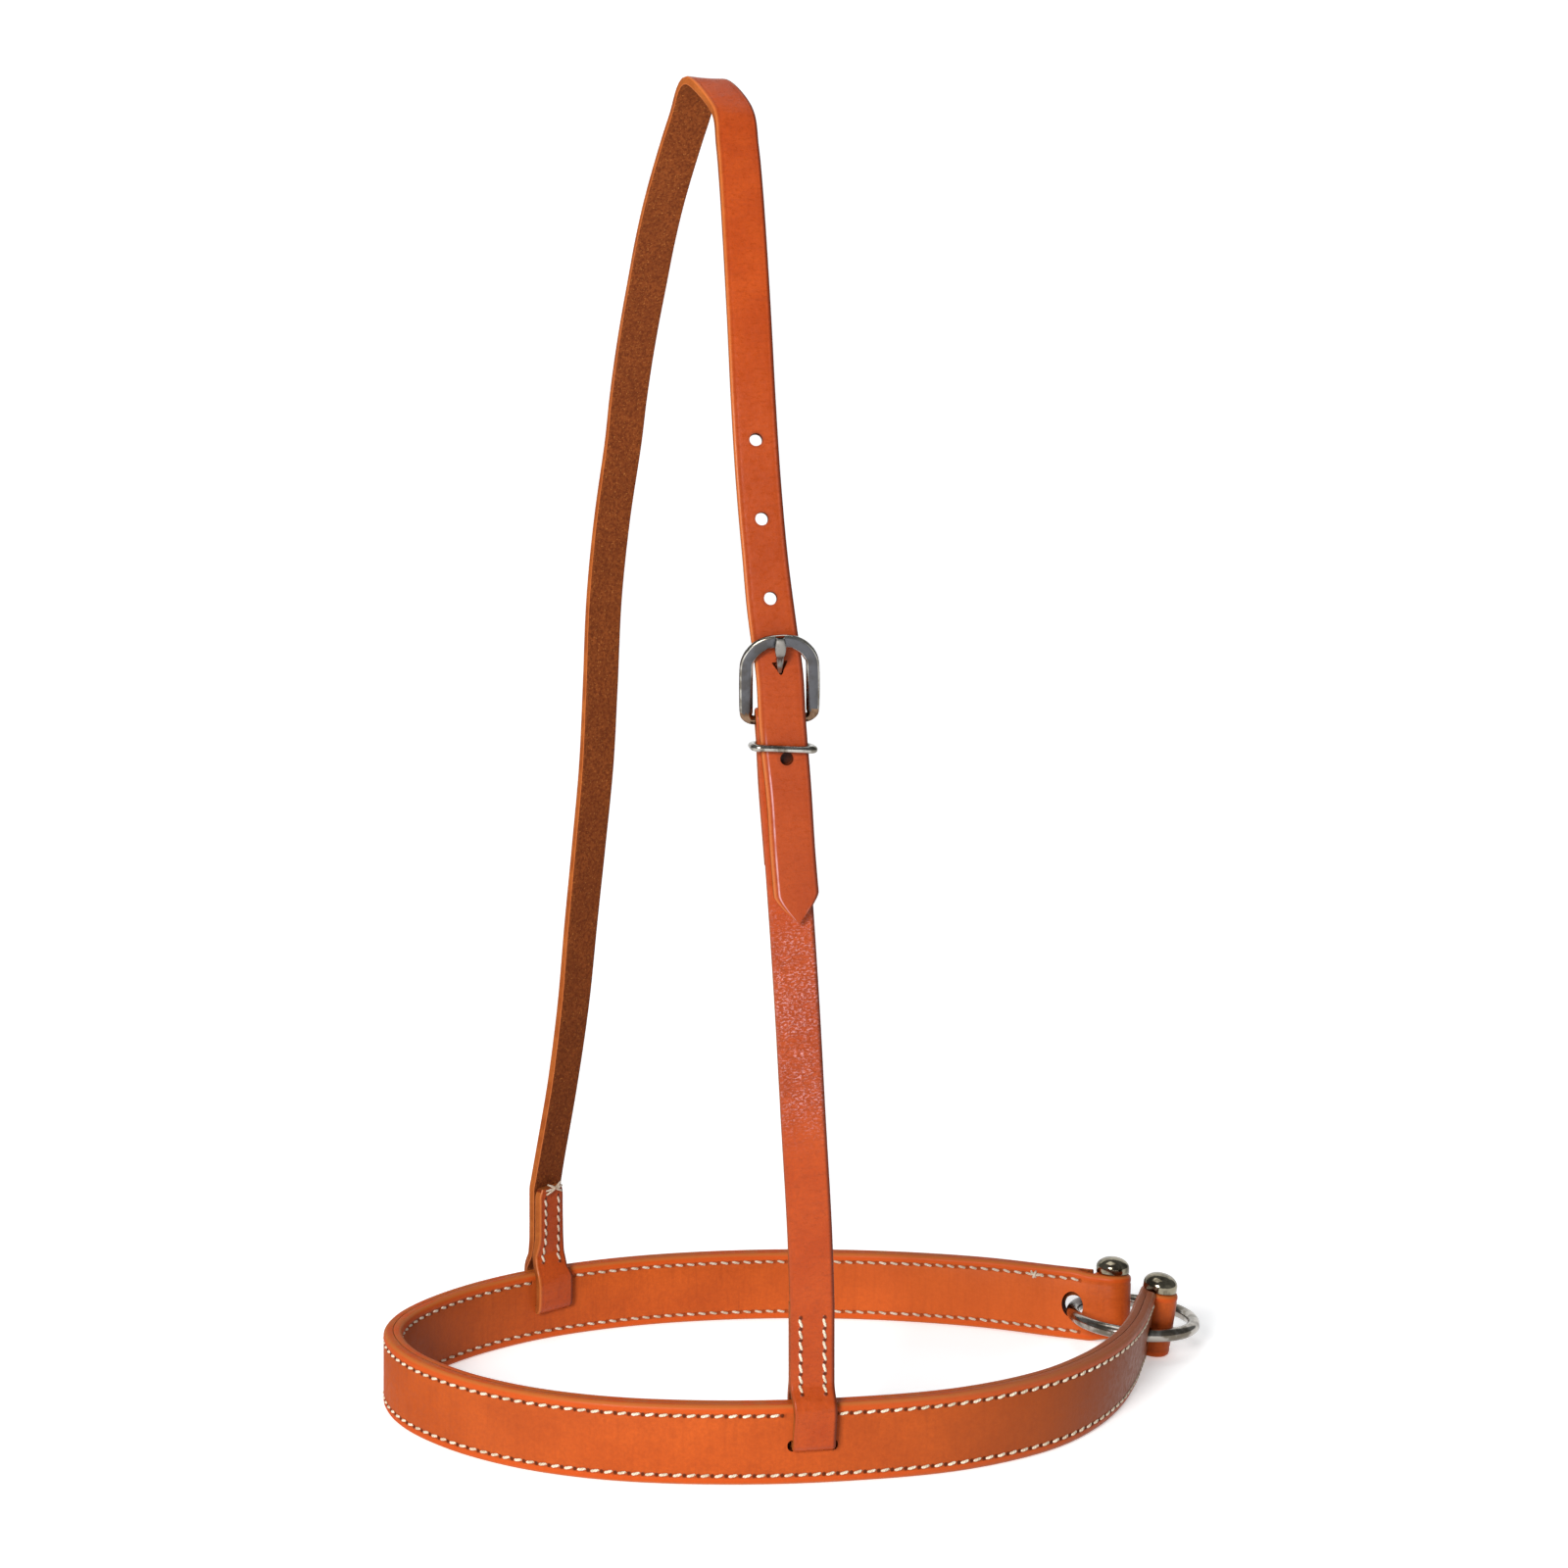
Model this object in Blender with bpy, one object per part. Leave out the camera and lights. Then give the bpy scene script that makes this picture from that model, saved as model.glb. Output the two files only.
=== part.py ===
"""Leather tie-down noseband with its hanger, buckle, rolled pins and ring."""
import math

import bmesh
import bpy
from mathutils import Matrix, Vector

for old in list(bpy.data.objects):
    bpy.data.objects.remove(old)

mm = 0.001

# Shared working sizes
layer_gap = 0.30 * mm
seat_gap = 0.20 * mm
edge_bevel = 0.45 * mm

# Noseband: two layers of leather, one inch high
band_height = 25.4 * mm
layer_thickness = 3.05 * mm
edge_round = 1.5 * mm
loop_length = 266.8 * mm
loop_width = 157.5 * mm
band_step = 8.0 * mm
plan_length_shares = (0.975, 0.942, 0.895, 0.831, 0.722, 0.575, 0.444, 0.313, 0.216, 0.142, 0.086,
                      0.042, 0.015, 0.000, 0.005, 0.030, 0.081, 0.154, 0.237, 0.344, 0.494, 0.644,
                      0.791)
plan_width_shares = (0.541, 0.406, 0.283, 0.177, 0.080, 0.026, 0.011, 0.029, 0.075, 0.139, 0.211,
                     0.290, 0.366, 0.450, 0.538, 0.631, 0.740, 0.840, 0.912, 0.967, 0.999, 0.989,
                     0.940)
ring_width_share = 0.810
near_slot_share = 0.2800
far_slot_share = 0.6711

# Rolled ends, their holes and pins
ring_wire = 4.7 * mm
ring_inside = 40.0 * mm
near_hole_bearing = math.radians(-92)
near_end_heading = math.radians(74)
far_hole_bearing = math.radians(160)
far_end_heading = math.radians(-20)
end_lead = 8.0 * mm
ring_hole_width = 8.4 * mm
ring_hole_height = 9.6 * mm
hole_to_pin = 13.6 * mm
pin_radius = 3.5 * mm
roll_turn_end = math.radians(200)
roll_step = math.radians(18)
roll_trim = 1.3 * mm
roll_top_trim = 1.0 * mm
roll_trim_run = 8.0 * mm
near_lean = math.radians(9)
far_lean = math.radians(6)
lean_hold = 30.0 * mm
lean_fade = 80.0 * mm
dome_radius = 6.2 * mm
dome_height = 5.8 * mm
dome_skirt_share = 0.35
post_bore_radius = 2.4 * mm
post_bore_depth = 12.0 * mm
screw_shank_radius = 2.1 * mm
screw_head_thickness = 1.4 * mm
screw_recess = 0.3 * mm
screw_slot_width = 1.2 * mm
screw_slot_depth = 0.5 * mm
ring_droop = math.radians(5.5)
ring_rest_gap = 0.9 * mm

# Stitching
row_inset = 3.2 * mm
thread_width = 0.9 * mm
thread_height = 0.55 * mm
thread_crest_share = 0.6
stitch_end_share = 0.35
stitch_rise_share = 0.3
row_end_past_hole = 4.6 * mm
row_slot_clearance = 1.2 * mm

# Hanger straps
strap_width = 14.3 * mm
strap_thickness = 3.0 * mm
skived_thickness = 2.2 * mm
slot_side_clearance = 1.1 * mm
slot_depth_below_edge = 12.9 * mm
slot_turn_inner_radius = 0.45 * mm
loop_close_height = 7.2 * mm
loop_close_start = 0.8 * mm
loop_overlap = 31.3 * mm
far_loop_twist = math.radians(-21)
loop_twist_run = 14.0 * mm
hanger_height = 457.0 * mm
strap_step = 9.0 * mm

# Cheek strap line from the near slot to the buckle bar: shares of the hanger's height, of the
# sideways distance between the slots and of the outward bulge
cheek_height_shares = (0.177, 0.258, 0.341, 0.435, 0.490, 0.5346)
cheek_side_shares = (0.008, 0.029, 0.050, 0.079, 0.099, 0.1085)
cheek_bulge_shares = (0.40, 0.70, 0.90, 1.00, 1.00, 1.00)
cheek_bulge = 5.4 * mm
billet_reach = 64.0 * mm
straight_above_bar = 29.6 * mm

# Crown strap line from above the buckle to the far slot: shares of the hanger's height, and of
# the sideways and depth distances from the near slot to the far slot
crown_height_shares = (0.646, 0.700, 0.7565, 0.8140, 0.8722, 0.9166, 0.9466, 0.9760, 1.000, 0.9760,
                       0.9431, 0.9162, 0.8884, 0.8600, 0.8306, 0.8004, 0.7696, 0.7379, 0.6735,
                       0.6083, 0.5352, 0.4705, 0.4048, 0.3403, 0.2753, 0.2101, 0.1460)
crown_side_shares = (0.1500, 0.1726, 0.1893, 0.2035, 0.2197, 0.2342, 0.2471, 0.2683, 0.3700, 0.4231,
                     0.4789, 0.5211, 0.5573, 0.5888, 0.6217, 0.6512, 0.6765, 0.6965, 0.7429, 0.7743,
                     0.7898, 0.8050, 0.8335, 0.8634, 0.8914, 0.9318, 0.9826)
crown_depth_shares = (-0.049, -0.031, 0.000, 0.058, 0.129, 0.201, 0.251, 0.298, 0.373, 0.452,
                      0.516, 0.580, 0.645, 0.709, 0.780, 0.845, 0.902, 0.938, 0.974, 0.988,
                      0.995, 0.996, 0.996, 0.996, 0.996, 0.996, 0.994)
crown_turn_shares = (0.00, 0.00, 0.00, 0.02, 0.06, 0.12, 0.20, 0.30, 0.38, 0.38, 0.36, 0.36, 0.36,
                     0.38, 0.42, 0.46, 0.49, 0.53, 0.60, 0.66, 0.70, 0.74, 0.80, 0.86, 0.94, 1.03,
                     1.04)
tip_taper = 11.0 * mm
tip_end_width = 1.6 * mm
tip_ring_shares = (0.0, 0.35, 0.7, 1.0)
apex_reach = 34.0 * mm
apex_step = 4.5 * mm
strap_hole_pitch = 25.4 * mm
strap_hole_radius = 2.1 * mm
holes_above_tongue = 3
holes_below_tongue = 1

# Buckle, tongue and keeper
bar_radius = 1.5 * mm
frame_outer_width = 25.9 * mm
frame_rail_width = 4.5 * mm
frame_thickness = 2.5 * mm
frame_reach = 24.3 * mm
frame_corner_radius = 6.5 * mm
frame_foot_radius = 2.6 * mm
frame_bevel = 0.7 * mm
tongue_width = 3.0 * mm
tongue_thickness = 2.0 * mm
tongue_eye_thickness = 1.1 * mm
tongue_overhang = 2.4 * mm
tongue_tip_share = 0.6
tongue_eye_turn = math.radians(300)
tongue_shaft_shares = (0.12, 0.85)
tongue_bend_share = 0.7
tongue_bend_thickness_share = 0.85
tongue_hole_clearance = 0.9 * mm
tongue_cut_shares = (0.3, 0.85)
fold_slot_width = 4.2 * mm
fold_slot_below = 3.6 * mm
fold_length = 46.0 * mm
fold_close_length = 8.0 * mm
keeper_wire = 2.4 * mm
keeper_clearance = 0.35 * mm
keeper_below_bar = 8.8 * mm
keeper_corner_radius = 2.6 * mm
keeper_tilt = math.radians(5)
billet_side_offset = 2.0 * mm
billet_back_shares = (1.0, 2 / 3, 1 / 3, 0.0)
billet_offset_shares = (0.95, 0.78, 0.95, 0.60)
billet_lift_shares = (0.5, 1.0)
billet_lean = 1.7 * mm
billet_lean_shares = (0.15, 1.0)

# Short stitch rows of the loops and the fold
short_row_spacing = 7.7 * mm
short_stitch_pitch = 3.6 * mm
loop_stitch_count = 7
fold_stitch_count = 7
loop_row_start = 2.6 * mm
fold_row_start = 15.0 * mm
cross_thread_drop = 1.6 * mm

# Facet counts
plan_samples = 24
run_samples = 12
crown_samples = 10
hole_sides = 16
strap_hole_sides = 12
pin_sides = 24
dome_steps = 6
ring_segments = 40
ring_sides = 10
loop_close_steps = 6
loop_turn_steps = 5
fold_steps = 8
fold_close_steps = 4
frame_corner_steps = 5
tongue_eye_steps = 12
keeper_corner_steps = 5
keeper_sides = 8

# Derived sizes
half_height = band_height / 2
band_half = layer_gap / 2 + layer_thickness
lining_line = -(layer_gap / 2 + layer_thickness / 2)
roll_line_radius = pin_radius + layer_gap + layer_thickness / 2
roll_outer_radius = pin_radius + layer_gap + layer_thickness
pin_offset = lining_line + roll_line_radius
ring_line_radius = (ring_inside + ring_wire) / 2
strap_half = strap_thickness / 2
loop_line = band_half + layer_gap + strap_half
joined_line = (strap_thickness + layer_gap) / 2
up_axis = Vector((0, 0, 1))
quarter = math.radians(90)
heading_reach = band_step / 4
round_bevel_share = 1 - math.tan(math.radians(22.5))


def finish(name, colour, roughness, metallic=0.0):
    material = bpy.data.materials.new(name)
    material.use_nodes = True
    shader = material.node_tree.nodes["Principled BSDF"]
    shader.inputs["Base Color"].default_value = colour
    shader.inputs["Roughness"].default_value = roughness
    shader.inputs["Metallic"].default_value = metallic
    return material


grain_colour = (0.56, 0.17, 0.05, 1.0)
lining_colour = (0.50, 0.15, 0.045, 1.0)
strap_colour = (0.54, 0.16, 0.05, 1.0)
thread_colour = (0.82, 0.78, 0.68, 1.0)
steel_colour = (0.62, 0.62, 0.60, 1.0)


def add_object(name, vertices, faces, material):
    mesh = bpy.data.meshes.new(name)
    mesh.from_pydata([tuple(v) for v in vertices], [], faces)
    work = bmesh.new()
    work.from_mesh(mesh)
    bmesh.ops.recalc_face_normals(work, faces=work.faces)
    work.to_mesh(mesh)
    work.free()
    thing = bpy.data.objects.new(name, mesh)
    bpy.context.scene.collection.objects.link(thing)
    if material:
        mesh.materials.append(material)
    return thing


def sweep(name, rings, material, closed=False):
    """Skin a list of equal vertex rings; an open sweep gets end caps."""
    count = len(rings[0])
    vertices = [v for ring in rings for v in ring]
    faces = []
    spans = len(rings) if closed else len(rings) - 1
    for i in range(spans):
        a = i * count
        b = ((i + 1) % len(rings)) * count
        for j in range(count):
            k = (j + 1) % count
            faces.append((a + j, a + k, b + k, b + j))
    if not closed:
        faces.append(tuple(range(count)))
        last = (len(rings) - 1) * count
        faces.append(tuple(last + j for j in reversed(range(count))))
    return add_object(name, vertices, faces, material)


def cut(target, cutter):
    cutter.hide_render = True
    cutter.display_type = 'WIRE'
    trim = target.modifiers.new(cutter.name, 'BOOLEAN')
    trim.operation = 'DIFFERENCE'
    trim.solver = 'EXACT'
    trim.object = cutter


def smooth_line(points, samples):
    """Centripetal Catmull-Rom line through the given points."""
    ends = [points[0] * 2 - points[1]] + list(points) + [points[-1] * 2 - points[-2]]
    line = []
    for i in range(1, len(ends) - 2):
        p = ends[i - 1:i + 3]
        t = [0.0]
        for a, b in zip(p, p[1:]):
            t.append(t[-1] + math.sqrt((b - a).length))
        for j in range(samples):
            q = t[1] + (t[2] - t[1]) * j / samples
            a1 = p[0].lerp(p[1], (q - t[0]) / (t[1] - t[0]))
            a2 = p[1].lerp(p[2], (q - t[1]) / (t[2] - t[1]))
            a3 = p[2].lerp(p[3], (q - t[2]) / (t[3] - t[2]))
            b1 = a1.lerp(a2, (q - t[0]) / (t[2] - t[0]))
            b2 = a2.lerp(a3, (q - t[1]) / (t[3] - t[1]))
            line.append(b1.lerp(b2, (q - t[1]) / (t[2] - t[1])))
    line.append(points[-1].copy())
    return line


class Line:
    """A fine polyline that is read by distance along it."""

    def __init__(self, points):
        self.points = points
        self.marks = [0.0]
        for a, b in zip(points, points[1:]):
            self.marks.append(self.marks[-1] + (b - a).length)
        self.length = self.marks[-1]

    def place(self, distance):
        low, high = 0, len(self.marks) - 2
        while low < high:
            middle = (low + high + 1) // 2
            if self.marks[middle] <= distance:
                low = middle
            else:
                high = middle - 1
        span = self.marks[low + 1] - self.marks[low]
        return self.points[low].lerp(self.points[low + 1], (distance - self.marks[low]) / span)

    def heading(self, distance, reach):
        a = self.place(distance - reach)
        b = self.place(distance + reach)
        return (b - a).normalized()

    def nearest(self, test):
        best = min(range(len(self.points)), key=lambda i: test(self.points[i]))
        return self.marks[best]


def eased(value):
    value = min(max(value, 0.0), 1.0)
    return value * value * (3 - 2 * value)


def spaced(start, end, step):
    count = max(1, math.ceil((end - start) / step))
    return [start + (end - start) * i / count for i in range(count + 1)]


# Plan of the noseband: the ring sits at the right, the nose end at zero
ring_centre = Vector((loop_length, loop_width * ring_width_share, 0))


def end_points(bearing, heading):
    hole = ring_centre + Vector((math.cos(bearing), math.sin(bearing), 0)) * ring_line_radius
    toward_end = Vector((math.cos(heading), math.sin(heading), 0))
    return hole + toward_end * hole_to_pin, hole, hole - toward_end * end_lead


near_points = end_points(near_hole_bearing, near_end_heading)
far_points = end_points(far_hole_bearing, far_end_heading)
body_points = [Vector((loop_length * a, loop_width * b, 0))
               for a, b in zip(plan_length_shares, plan_width_shares)]
plan = Line(smooth_line(list(near_points) + body_points + list(reversed(far_points)),
                        plan_samples))


class Station:
    """Local axes of the noseband at a distance along it: out, up and along."""

    def __init__(self, distance):
        held = min(max(distance, heading_reach), plan.length - heading_reach)
        self.along = plan.heading(held, heading_reach)
        level_out = Vector((-self.along.y, self.along.x, 0))
        near_share = 1 - eased((distance - lean_hold) / lean_fade)
        far_share = 1 - eased((plan.length - distance - lean_hold) / lean_fade)
        lean = near_lean * near_share + far_lean * far_share
        self.up = up_axis * math.cos(lean) + level_out * math.sin(lean)
        self.out = level_out * math.cos(lean) - up_axis * math.sin(lean)
        self.origin = plan.place(min(max(distance, 0), plan.length)) + up_axis * half_height

    def point(self, outward, height, forward=0.0):
        return self.origin + self.out * outward + self.up * height + self.along * forward


def lower_edge(distance_to_pin):
    """Height of the strap's lower edge: it is trimmed up a little where it rolls."""
    return roll_trim * (1 - eased(distance_to_pin / roll_trim_run)) - half_height


def lining_top(distance_to_pin):
    """Height of the lining's upper edge: lower under the dome that sits on it."""
    past_dome = distance_to_pin - dome_radius - layer_gap
    return half_height - roll_top_trim * (1 - eased(past_dome / roll_trim_run))


def layer_profile(inner, outer, low, high):
    """One layer's section: square at the seam, rounded at the grain side."""
    r = edge_round if outer > inner else -edge_round
    soft = r * (1 - math.sqrt(0.5))
    side = abs(soft)
    reach = abs(r)
    return [(inner, low), (outer - r, low), (outer - soft, low + side), (outer, low + reach),
            (outer, high - reach), (outer - soft, high - side), (outer - r, high), (inner, high)]


leather_outer = finish("outer_grain", grain_colour, 0.45)
leather_lining = finish("lining_grain", lining_colour, 0.5)

outer_end = math.sqrt(roll_outer_radius ** 2 - (pin_offset - band_half) ** 2) + layer_gap
outer_marks = spaced(outer_end, plan.length - outer_end, band_step)
lining_marks = spaced(0, plan.length, band_step)[1:-1]
outer_rings = []
for s in outer_marks:
    station = Station(s)
    low = lower_edge(min(s, plan.length - s))
    outer_rings.append([station.point(n, h) for n, h in
                        layer_profile(layer_gap / 2, band_half, low, half_height)])
outer_strap = sweep("noseband_outer_strap", outer_rings, leather_outer)


def roll_rings(station, away, first, last):
    """Rings of the lining round a pin; away points past the strap's end."""
    rings = []
    count = math.ceil(abs(last - first) / roll_step)
    for i in range(count + 1):
        turn = first + (last - first) * i / count
        radial = away * math.cos(turn) + station.out * math.sin(turn)
        centre = station.point(pin_offset, 0) + radial * roll_line_radius
        rings.append([centre - radial * (n - lining_line) + station.up * h for n, h in
                      layer_profile(-layer_gap / 2, -band_half, lower_edge(0), lining_top(0))])
    return rings


near_end = Station(0)
far_end = Station(plan.length)
lining_rings = roll_rings(near_end, -near_end.along, roll_turn_end, -quarter)
for s in lining_marks:
    station = Station(s)
    from_pin = min(s, plan.length - s)
    lining_rings.append([station.point(n, h) for n, h in
                         layer_profile(-layer_gap / 2, -band_half, lower_edge(from_pin),
                                       lining_top(from_pin))])
lining_rings += roll_rings(far_end, far_end.along, -quarter, roll_turn_end)
lining_strap = sweep("noseband_lining_strap", lining_rings, leather_lining)

# Openings through both layers
near_slot_at = plan.length * near_slot_share
far_slot_at = plan.length * far_slot_share
slot_height = strap_thickness + layer_gap * 2
slot_middle = half_height - slot_depth_below_edge
slot_half_width = strap_width / 2 + slot_side_clearance
cutter_reach = band_half * 2


def box_cutter(name, station, half_along, low, high, half_out):
    corners = [(-half_along, low), (half_along, low), (half_along, high), (-half_along, high)]
    return sweep(name, [[station.point(side * half_out, h, a) for a, h in corners]
                        for side in (-1, 1)], None)


def oval_cutter(name, station, half_along, half_up, half_out, sides):
    turns = [2 * math.pi * i / sides for i in range(sides)]
    return sweep(name, [[station.point(side * half_out, half_up * math.sin(t),
                                       half_along * math.cos(t)) for t in turns]
                        for side in (-1, 1)], None)


for label, at in (("near", near_slot_at), ("far", far_slot_at)):
    opening = box_cutter(label + "_slot_cutter", Station(at), slot_half_width,
                         slot_middle - slot_height / 2, slot_middle + slot_height / 2,
                         cutter_reach)
    cut(outer_strap, opening)
    cut(lining_strap, opening)
for label, at in (("near", hole_to_pin), ("far", plan.length - hole_to_pin)):
    opening = oval_cutter(label + "_ring_hole_cutter", Station(at), ring_hole_width / 2,
                          ring_hole_height / 2, cutter_reach, hole_sides)
    cut(outer_strap, opening)
    cut(lining_strap, opening)

# Long stitch rows
thread = finish("thread", thread_colour, 0.8)
row_height = half_height - row_inset


def face_point(marks, s, outward, height):
    """A point over the faceted strap between two of its section marks."""
    after = next(i for i in range(1, len(marks)) if marks[i] >= s or i == len(marks) - 1)
    a, b = marks[after - 1], marks[after]
    return Station(a).point(outward, height).lerp(Station(b).point(outward, height),
                                                  (s - a) / (b - a))


def long_row(name, side, height, start, end):
    face = side * (band_half + seat_gap)
    top = face + side * thread_height
    half = thread_width / 2
    crest = half * thread_crest_share
    marks = outer_marks if side > 0 else lining_marks
    rings = []
    for s in [start] + [mark for mark in marks if start < mark < end] + [end]:
        rings.append([face_point(marks, s, n, height + h) for n, h in
                      ((face, -half), (top, -crest), (top, crest), (face, half))])
    sweep(name, rings, thread)


row_start = hole_to_pin - row_end_past_hole
row_gap = strap_width / 2 + row_slot_clearance
for side, word in ((1, "outside"), (-1, "inside")):
    long_row("lower_row_" + word, side, -row_height, row_start, plan.length - row_start)
    long_row("upper_row_near_" + word, side, row_height, row_start, near_slot_at - row_gap)
    long_row("upper_row_nose_" + word, side, row_height, near_slot_at + row_gap,
             far_slot_at - row_gap)
    long_row("upper_row_far_" + word, side, row_height, far_slot_at + row_gap,
             plan.length - row_start)


def lathe(name, centre, axis, across, outline, sides, material):
    """Turn an outline of (radius, height) round an axis; the outline starts and ends on it."""
    third = axis.cross(across)
    vertices = []
    faces = []
    rows = []
    for radius, height in outline:
        if radius == 0:
            rows.append([len(vertices)])
            vertices.append(centre + axis * height)
            continue
        rows.append(list(range(len(vertices), len(vertices) + sides)))
        for i in range(sides):
            t = 2 * math.pi * i / sides
            vertices.append(centre + axis * height + across * (radius * math.cos(t))
                            + third * (radius * math.sin(t)))
    for low, high in zip(rows, rows[1:]):
        for i in range(sides):
            j = (i + 1) % sides
            if len(low) == 1:
                faces.append((low[0], high[j], high[i]))
            elif len(high) == 1:
                faces.append((low[i], low[j], high[0]))
            else:
                faces.append((low[i], low[j], high[j], high[i]))
    return add_object(name, vertices, faces, material)


# Pins: a domed post from above, a screw from below
steel = finish("steel", steel_colour, 0.25, 1.0)


def pin(label, station):
    """Post with its dome on the roll's top edge; the screw's head is flush inside the roll."""
    base = station.point(pin_offset, 0)
    top = lining_top(0) + layer_gap
    under = lower_edge(0) + screw_recess
    bottom = under + screw_head_thickness + layer_gap
    skirt = dome_height * dome_skirt_share
    outline = [(0, bottom + post_bore_depth), (post_bore_radius, bottom + post_bore_depth),
               (post_bore_radius, bottom), (pin_radius, bottom), (pin_radius, top),
               (dome_radius, top), (dome_radius, top + skirt)]
    for i in range(1, dome_steps):
        t = quarter * i / dome_steps
        outline.append((dome_radius * math.cos(t),
                        top + skirt + (dome_height - skirt) * math.sin(t)))
    outline.append((0, top + dome_height))
    lathe(label + "_pin_post", base, station.up, station.along, outline, pin_sides, steel)
    shank_top = bottom + post_bore_depth - layer_gap
    screw = lathe(label + "_pin_screw", base, station.up, station.along,
                  [(0, under), (pin_radius, under), (pin_radius, under + screw_head_thickness),
                   (screw_shank_radius, under + screw_head_thickness),
                   (screw_shank_radius, shank_top), (0, shank_top)], pin_sides, steel)
    corners = [(-screw_slot_width / 2, under - screw_head_thickness),
               (screw_slot_width / 2, under - screw_head_thickness),
               (screw_slot_width / 2, under + screw_slot_depth),
               (-screw_slot_width / 2, under + screw_slot_depth)]
    cut(screw, sweep(label + "_screw_slot_cutter",
                     [[base + station.out * (side * pin_radius * 2) + station.along * a
                       + station.up * h for a, h in corners] for side in (-1, 1)], None))


pin("near", near_end)
pin("far", far_end)

# The ring lies through both holes and droops past the rolled ends
near_hole = Station(hole_to_pin).point(0, 0)
far_hole = Station(plan.length - hole_to_pin).point(0, 0)
chord = (near_hole - far_hole).normalized()
ring_level = ring_centre + up_axis * half_height
swing = Matrix.Rotation(-ring_droop, 3, chord)
ring_drop = ring_hole_height / 2 - ring_wire / 2 - ring_rest_gap
centre = far_hole + swing @ (ring_level - far_hole) - up_axis * ring_drop
ring_normal = swing @ up_axis
ring_side = ring_normal.cross(chord).normalized()
rings = []
for i in range(ring_segments):
    t = 2 * math.pi * i / ring_segments
    radial = chord * math.cos(t) + ring_side * math.sin(t)
    rings.append([centre + radial * (ring_line_radius + ring_wire / 2 * math.cos(u))
                  + ring_normal * (ring_wire / 2 * math.sin(u))
                  for u in (2 * math.pi * j / ring_sides for j in range(ring_sides))])
sweep("tie_down_ring", rings, steel, closed=True)


# Straps: a section is set square to the line, its width along a level heading
def strap_ring(point, tangent, level, width, thickness):
    inward = tangent.cross(level).normalized()
    across = inward.cross(tangent).normalized()
    a, b = width / 2, thickness / 2
    c = min(edge_bevel, b / 2)
    corners = [(-a + c, -b), (a - c, -b), (a, -b + c), (a, b - c),
               (a - c, b), (-a + c, b), (-a, b - c), (-a, -b + c)]
    return [point + across * w + inward * n for w, n in corners]


def strap_rings(points, levels, widths, thicknesses):
    rings = []
    for i, point in enumerate(points):
        before = (point - points[i - 1]).normalized() if i else None
        after = (points[i + 1] - point).normalized() if i + 1 < len(points) else None
        tangent = ((before or after) + (after or before)).normalized()
        rings.append(strap_ring(point, tangent, levels[i], widths[i], thicknesses[i]))
    return rings


def loop_frame(station, height, twist):
    """Out and along directions of a joined loop, which may twist above the band's edge."""
    turn = twist * eased((height - half_height) / loop_twist_run)
    out = station.out * math.cos(turn) + station.along * math.sin(turn)
    along = station.along * math.cos(turn) - station.out * math.sin(turn)
    return out, along


def loop_points(station, twist):
    """Line of a strap through its slot from the turned end inside to the main part outside,
    with the heading of its width at each point."""
    turn = slot_turn_inner_radius + strap_half
    edge = half_height - loop_close_start
    close = half_height + loop_close_height
    side = [(joined_line, h)
            for h in reversed(spaced(close, half_height + loop_overlap, strap_step))]
    for i in range(1, loop_close_steps + 1):
        share = i / loop_close_steps
        side.append((joined_line + (loop_line - joined_line) * eased(share),
                     close + (edge - close) * share))
    for i in range(loop_turn_steps + 1):
        t = quarter * i / loop_turn_steps
        side.append((loop_line - turn + turn * math.cos(t),
                     slot_middle + turn - turn * math.sin(t)))
    places, headings = [], []
    for n, h in [(-n, h) for n, h in side] + list(reversed(side)):
        out, along = loop_frame(station, h, twist)
        places.append(station.origin + out * n + station.up * h)
        headings.append(along)
    return places, headings


near_station = Station(near_slot_at)
far_station = Station(far_slot_at)
near_loop, near_headings = loop_points(near_station, 0.0)
near_headings = [-heading for heading in near_headings]
near_level = near_headings[-1]
far_loop, far_headings = loop_points(far_station, far_loop_twist)
far_level = far_headings[-1]
near_join = near_station.point(joined_line, half_height)
far_join = far_loop[-1]


# Cheek strap: loop, run, fold round the bar, turned end behind
side_span = far_join.x - near_join.x
depth_span = far_join.y - near_join.y
cheek_points = [Vector((near_join.x + side_span * x, near_join.y - cheek_bulge * out,
                        hanger_height * h))
                for h, x, out in zip(cheek_height_shares, cheek_side_shares, cheek_bulge_shares)]
run = Line(smooth_line([near_loop[-1]] + cheek_points, run_samples))
bar_line = bar_radius + layer_gap + skived_thickness / 2
fold_shift = strap_half - skived_thickness / 2
bar_up = run.heading(run.length - strap_step, heading_reach)
bar_in = bar_up.cross(near_level).normalized()
bar_side = bar_in.cross(bar_up).normalized()
bar_front = run.place(run.length) - bar_in * fold_shift
bar_centre = bar_front + bar_in * bar_line

points = list(near_loop)
thicknesses = [strap_thickness] * len(points)
for s in spaced(0, run.length - layer_gap, strap_step)[1:-1]:
    share = eased((s - (run.length - fold_close_length)) / fold_close_length)
    points.append(run.place(s) - bar_in * (fold_shift * share))
    thicknesses.append(strap_thickness + (skived_thickness - strap_thickness) * share)
levels = near_headings + [near_level] * (len(points) - len(near_headings))
for i in range(fold_steps + 1):
    t = math.pi * i / fold_steps
    points.append(bar_centre - bar_in * (bar_line * math.cos(t))
                  + bar_up * (bar_line * math.sin(t)))
    thicknesses.append(skived_thickness)
back_line = strap_half + layer_gap + skived_thickness / 2
back_far = bar_line * 2 - fold_shift
below = [fold_close_length * i / fold_close_steps for i in range(1, fold_close_steps + 1)]
below += spaced(fold_close_length, fold_length, strap_step)[1:]
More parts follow.
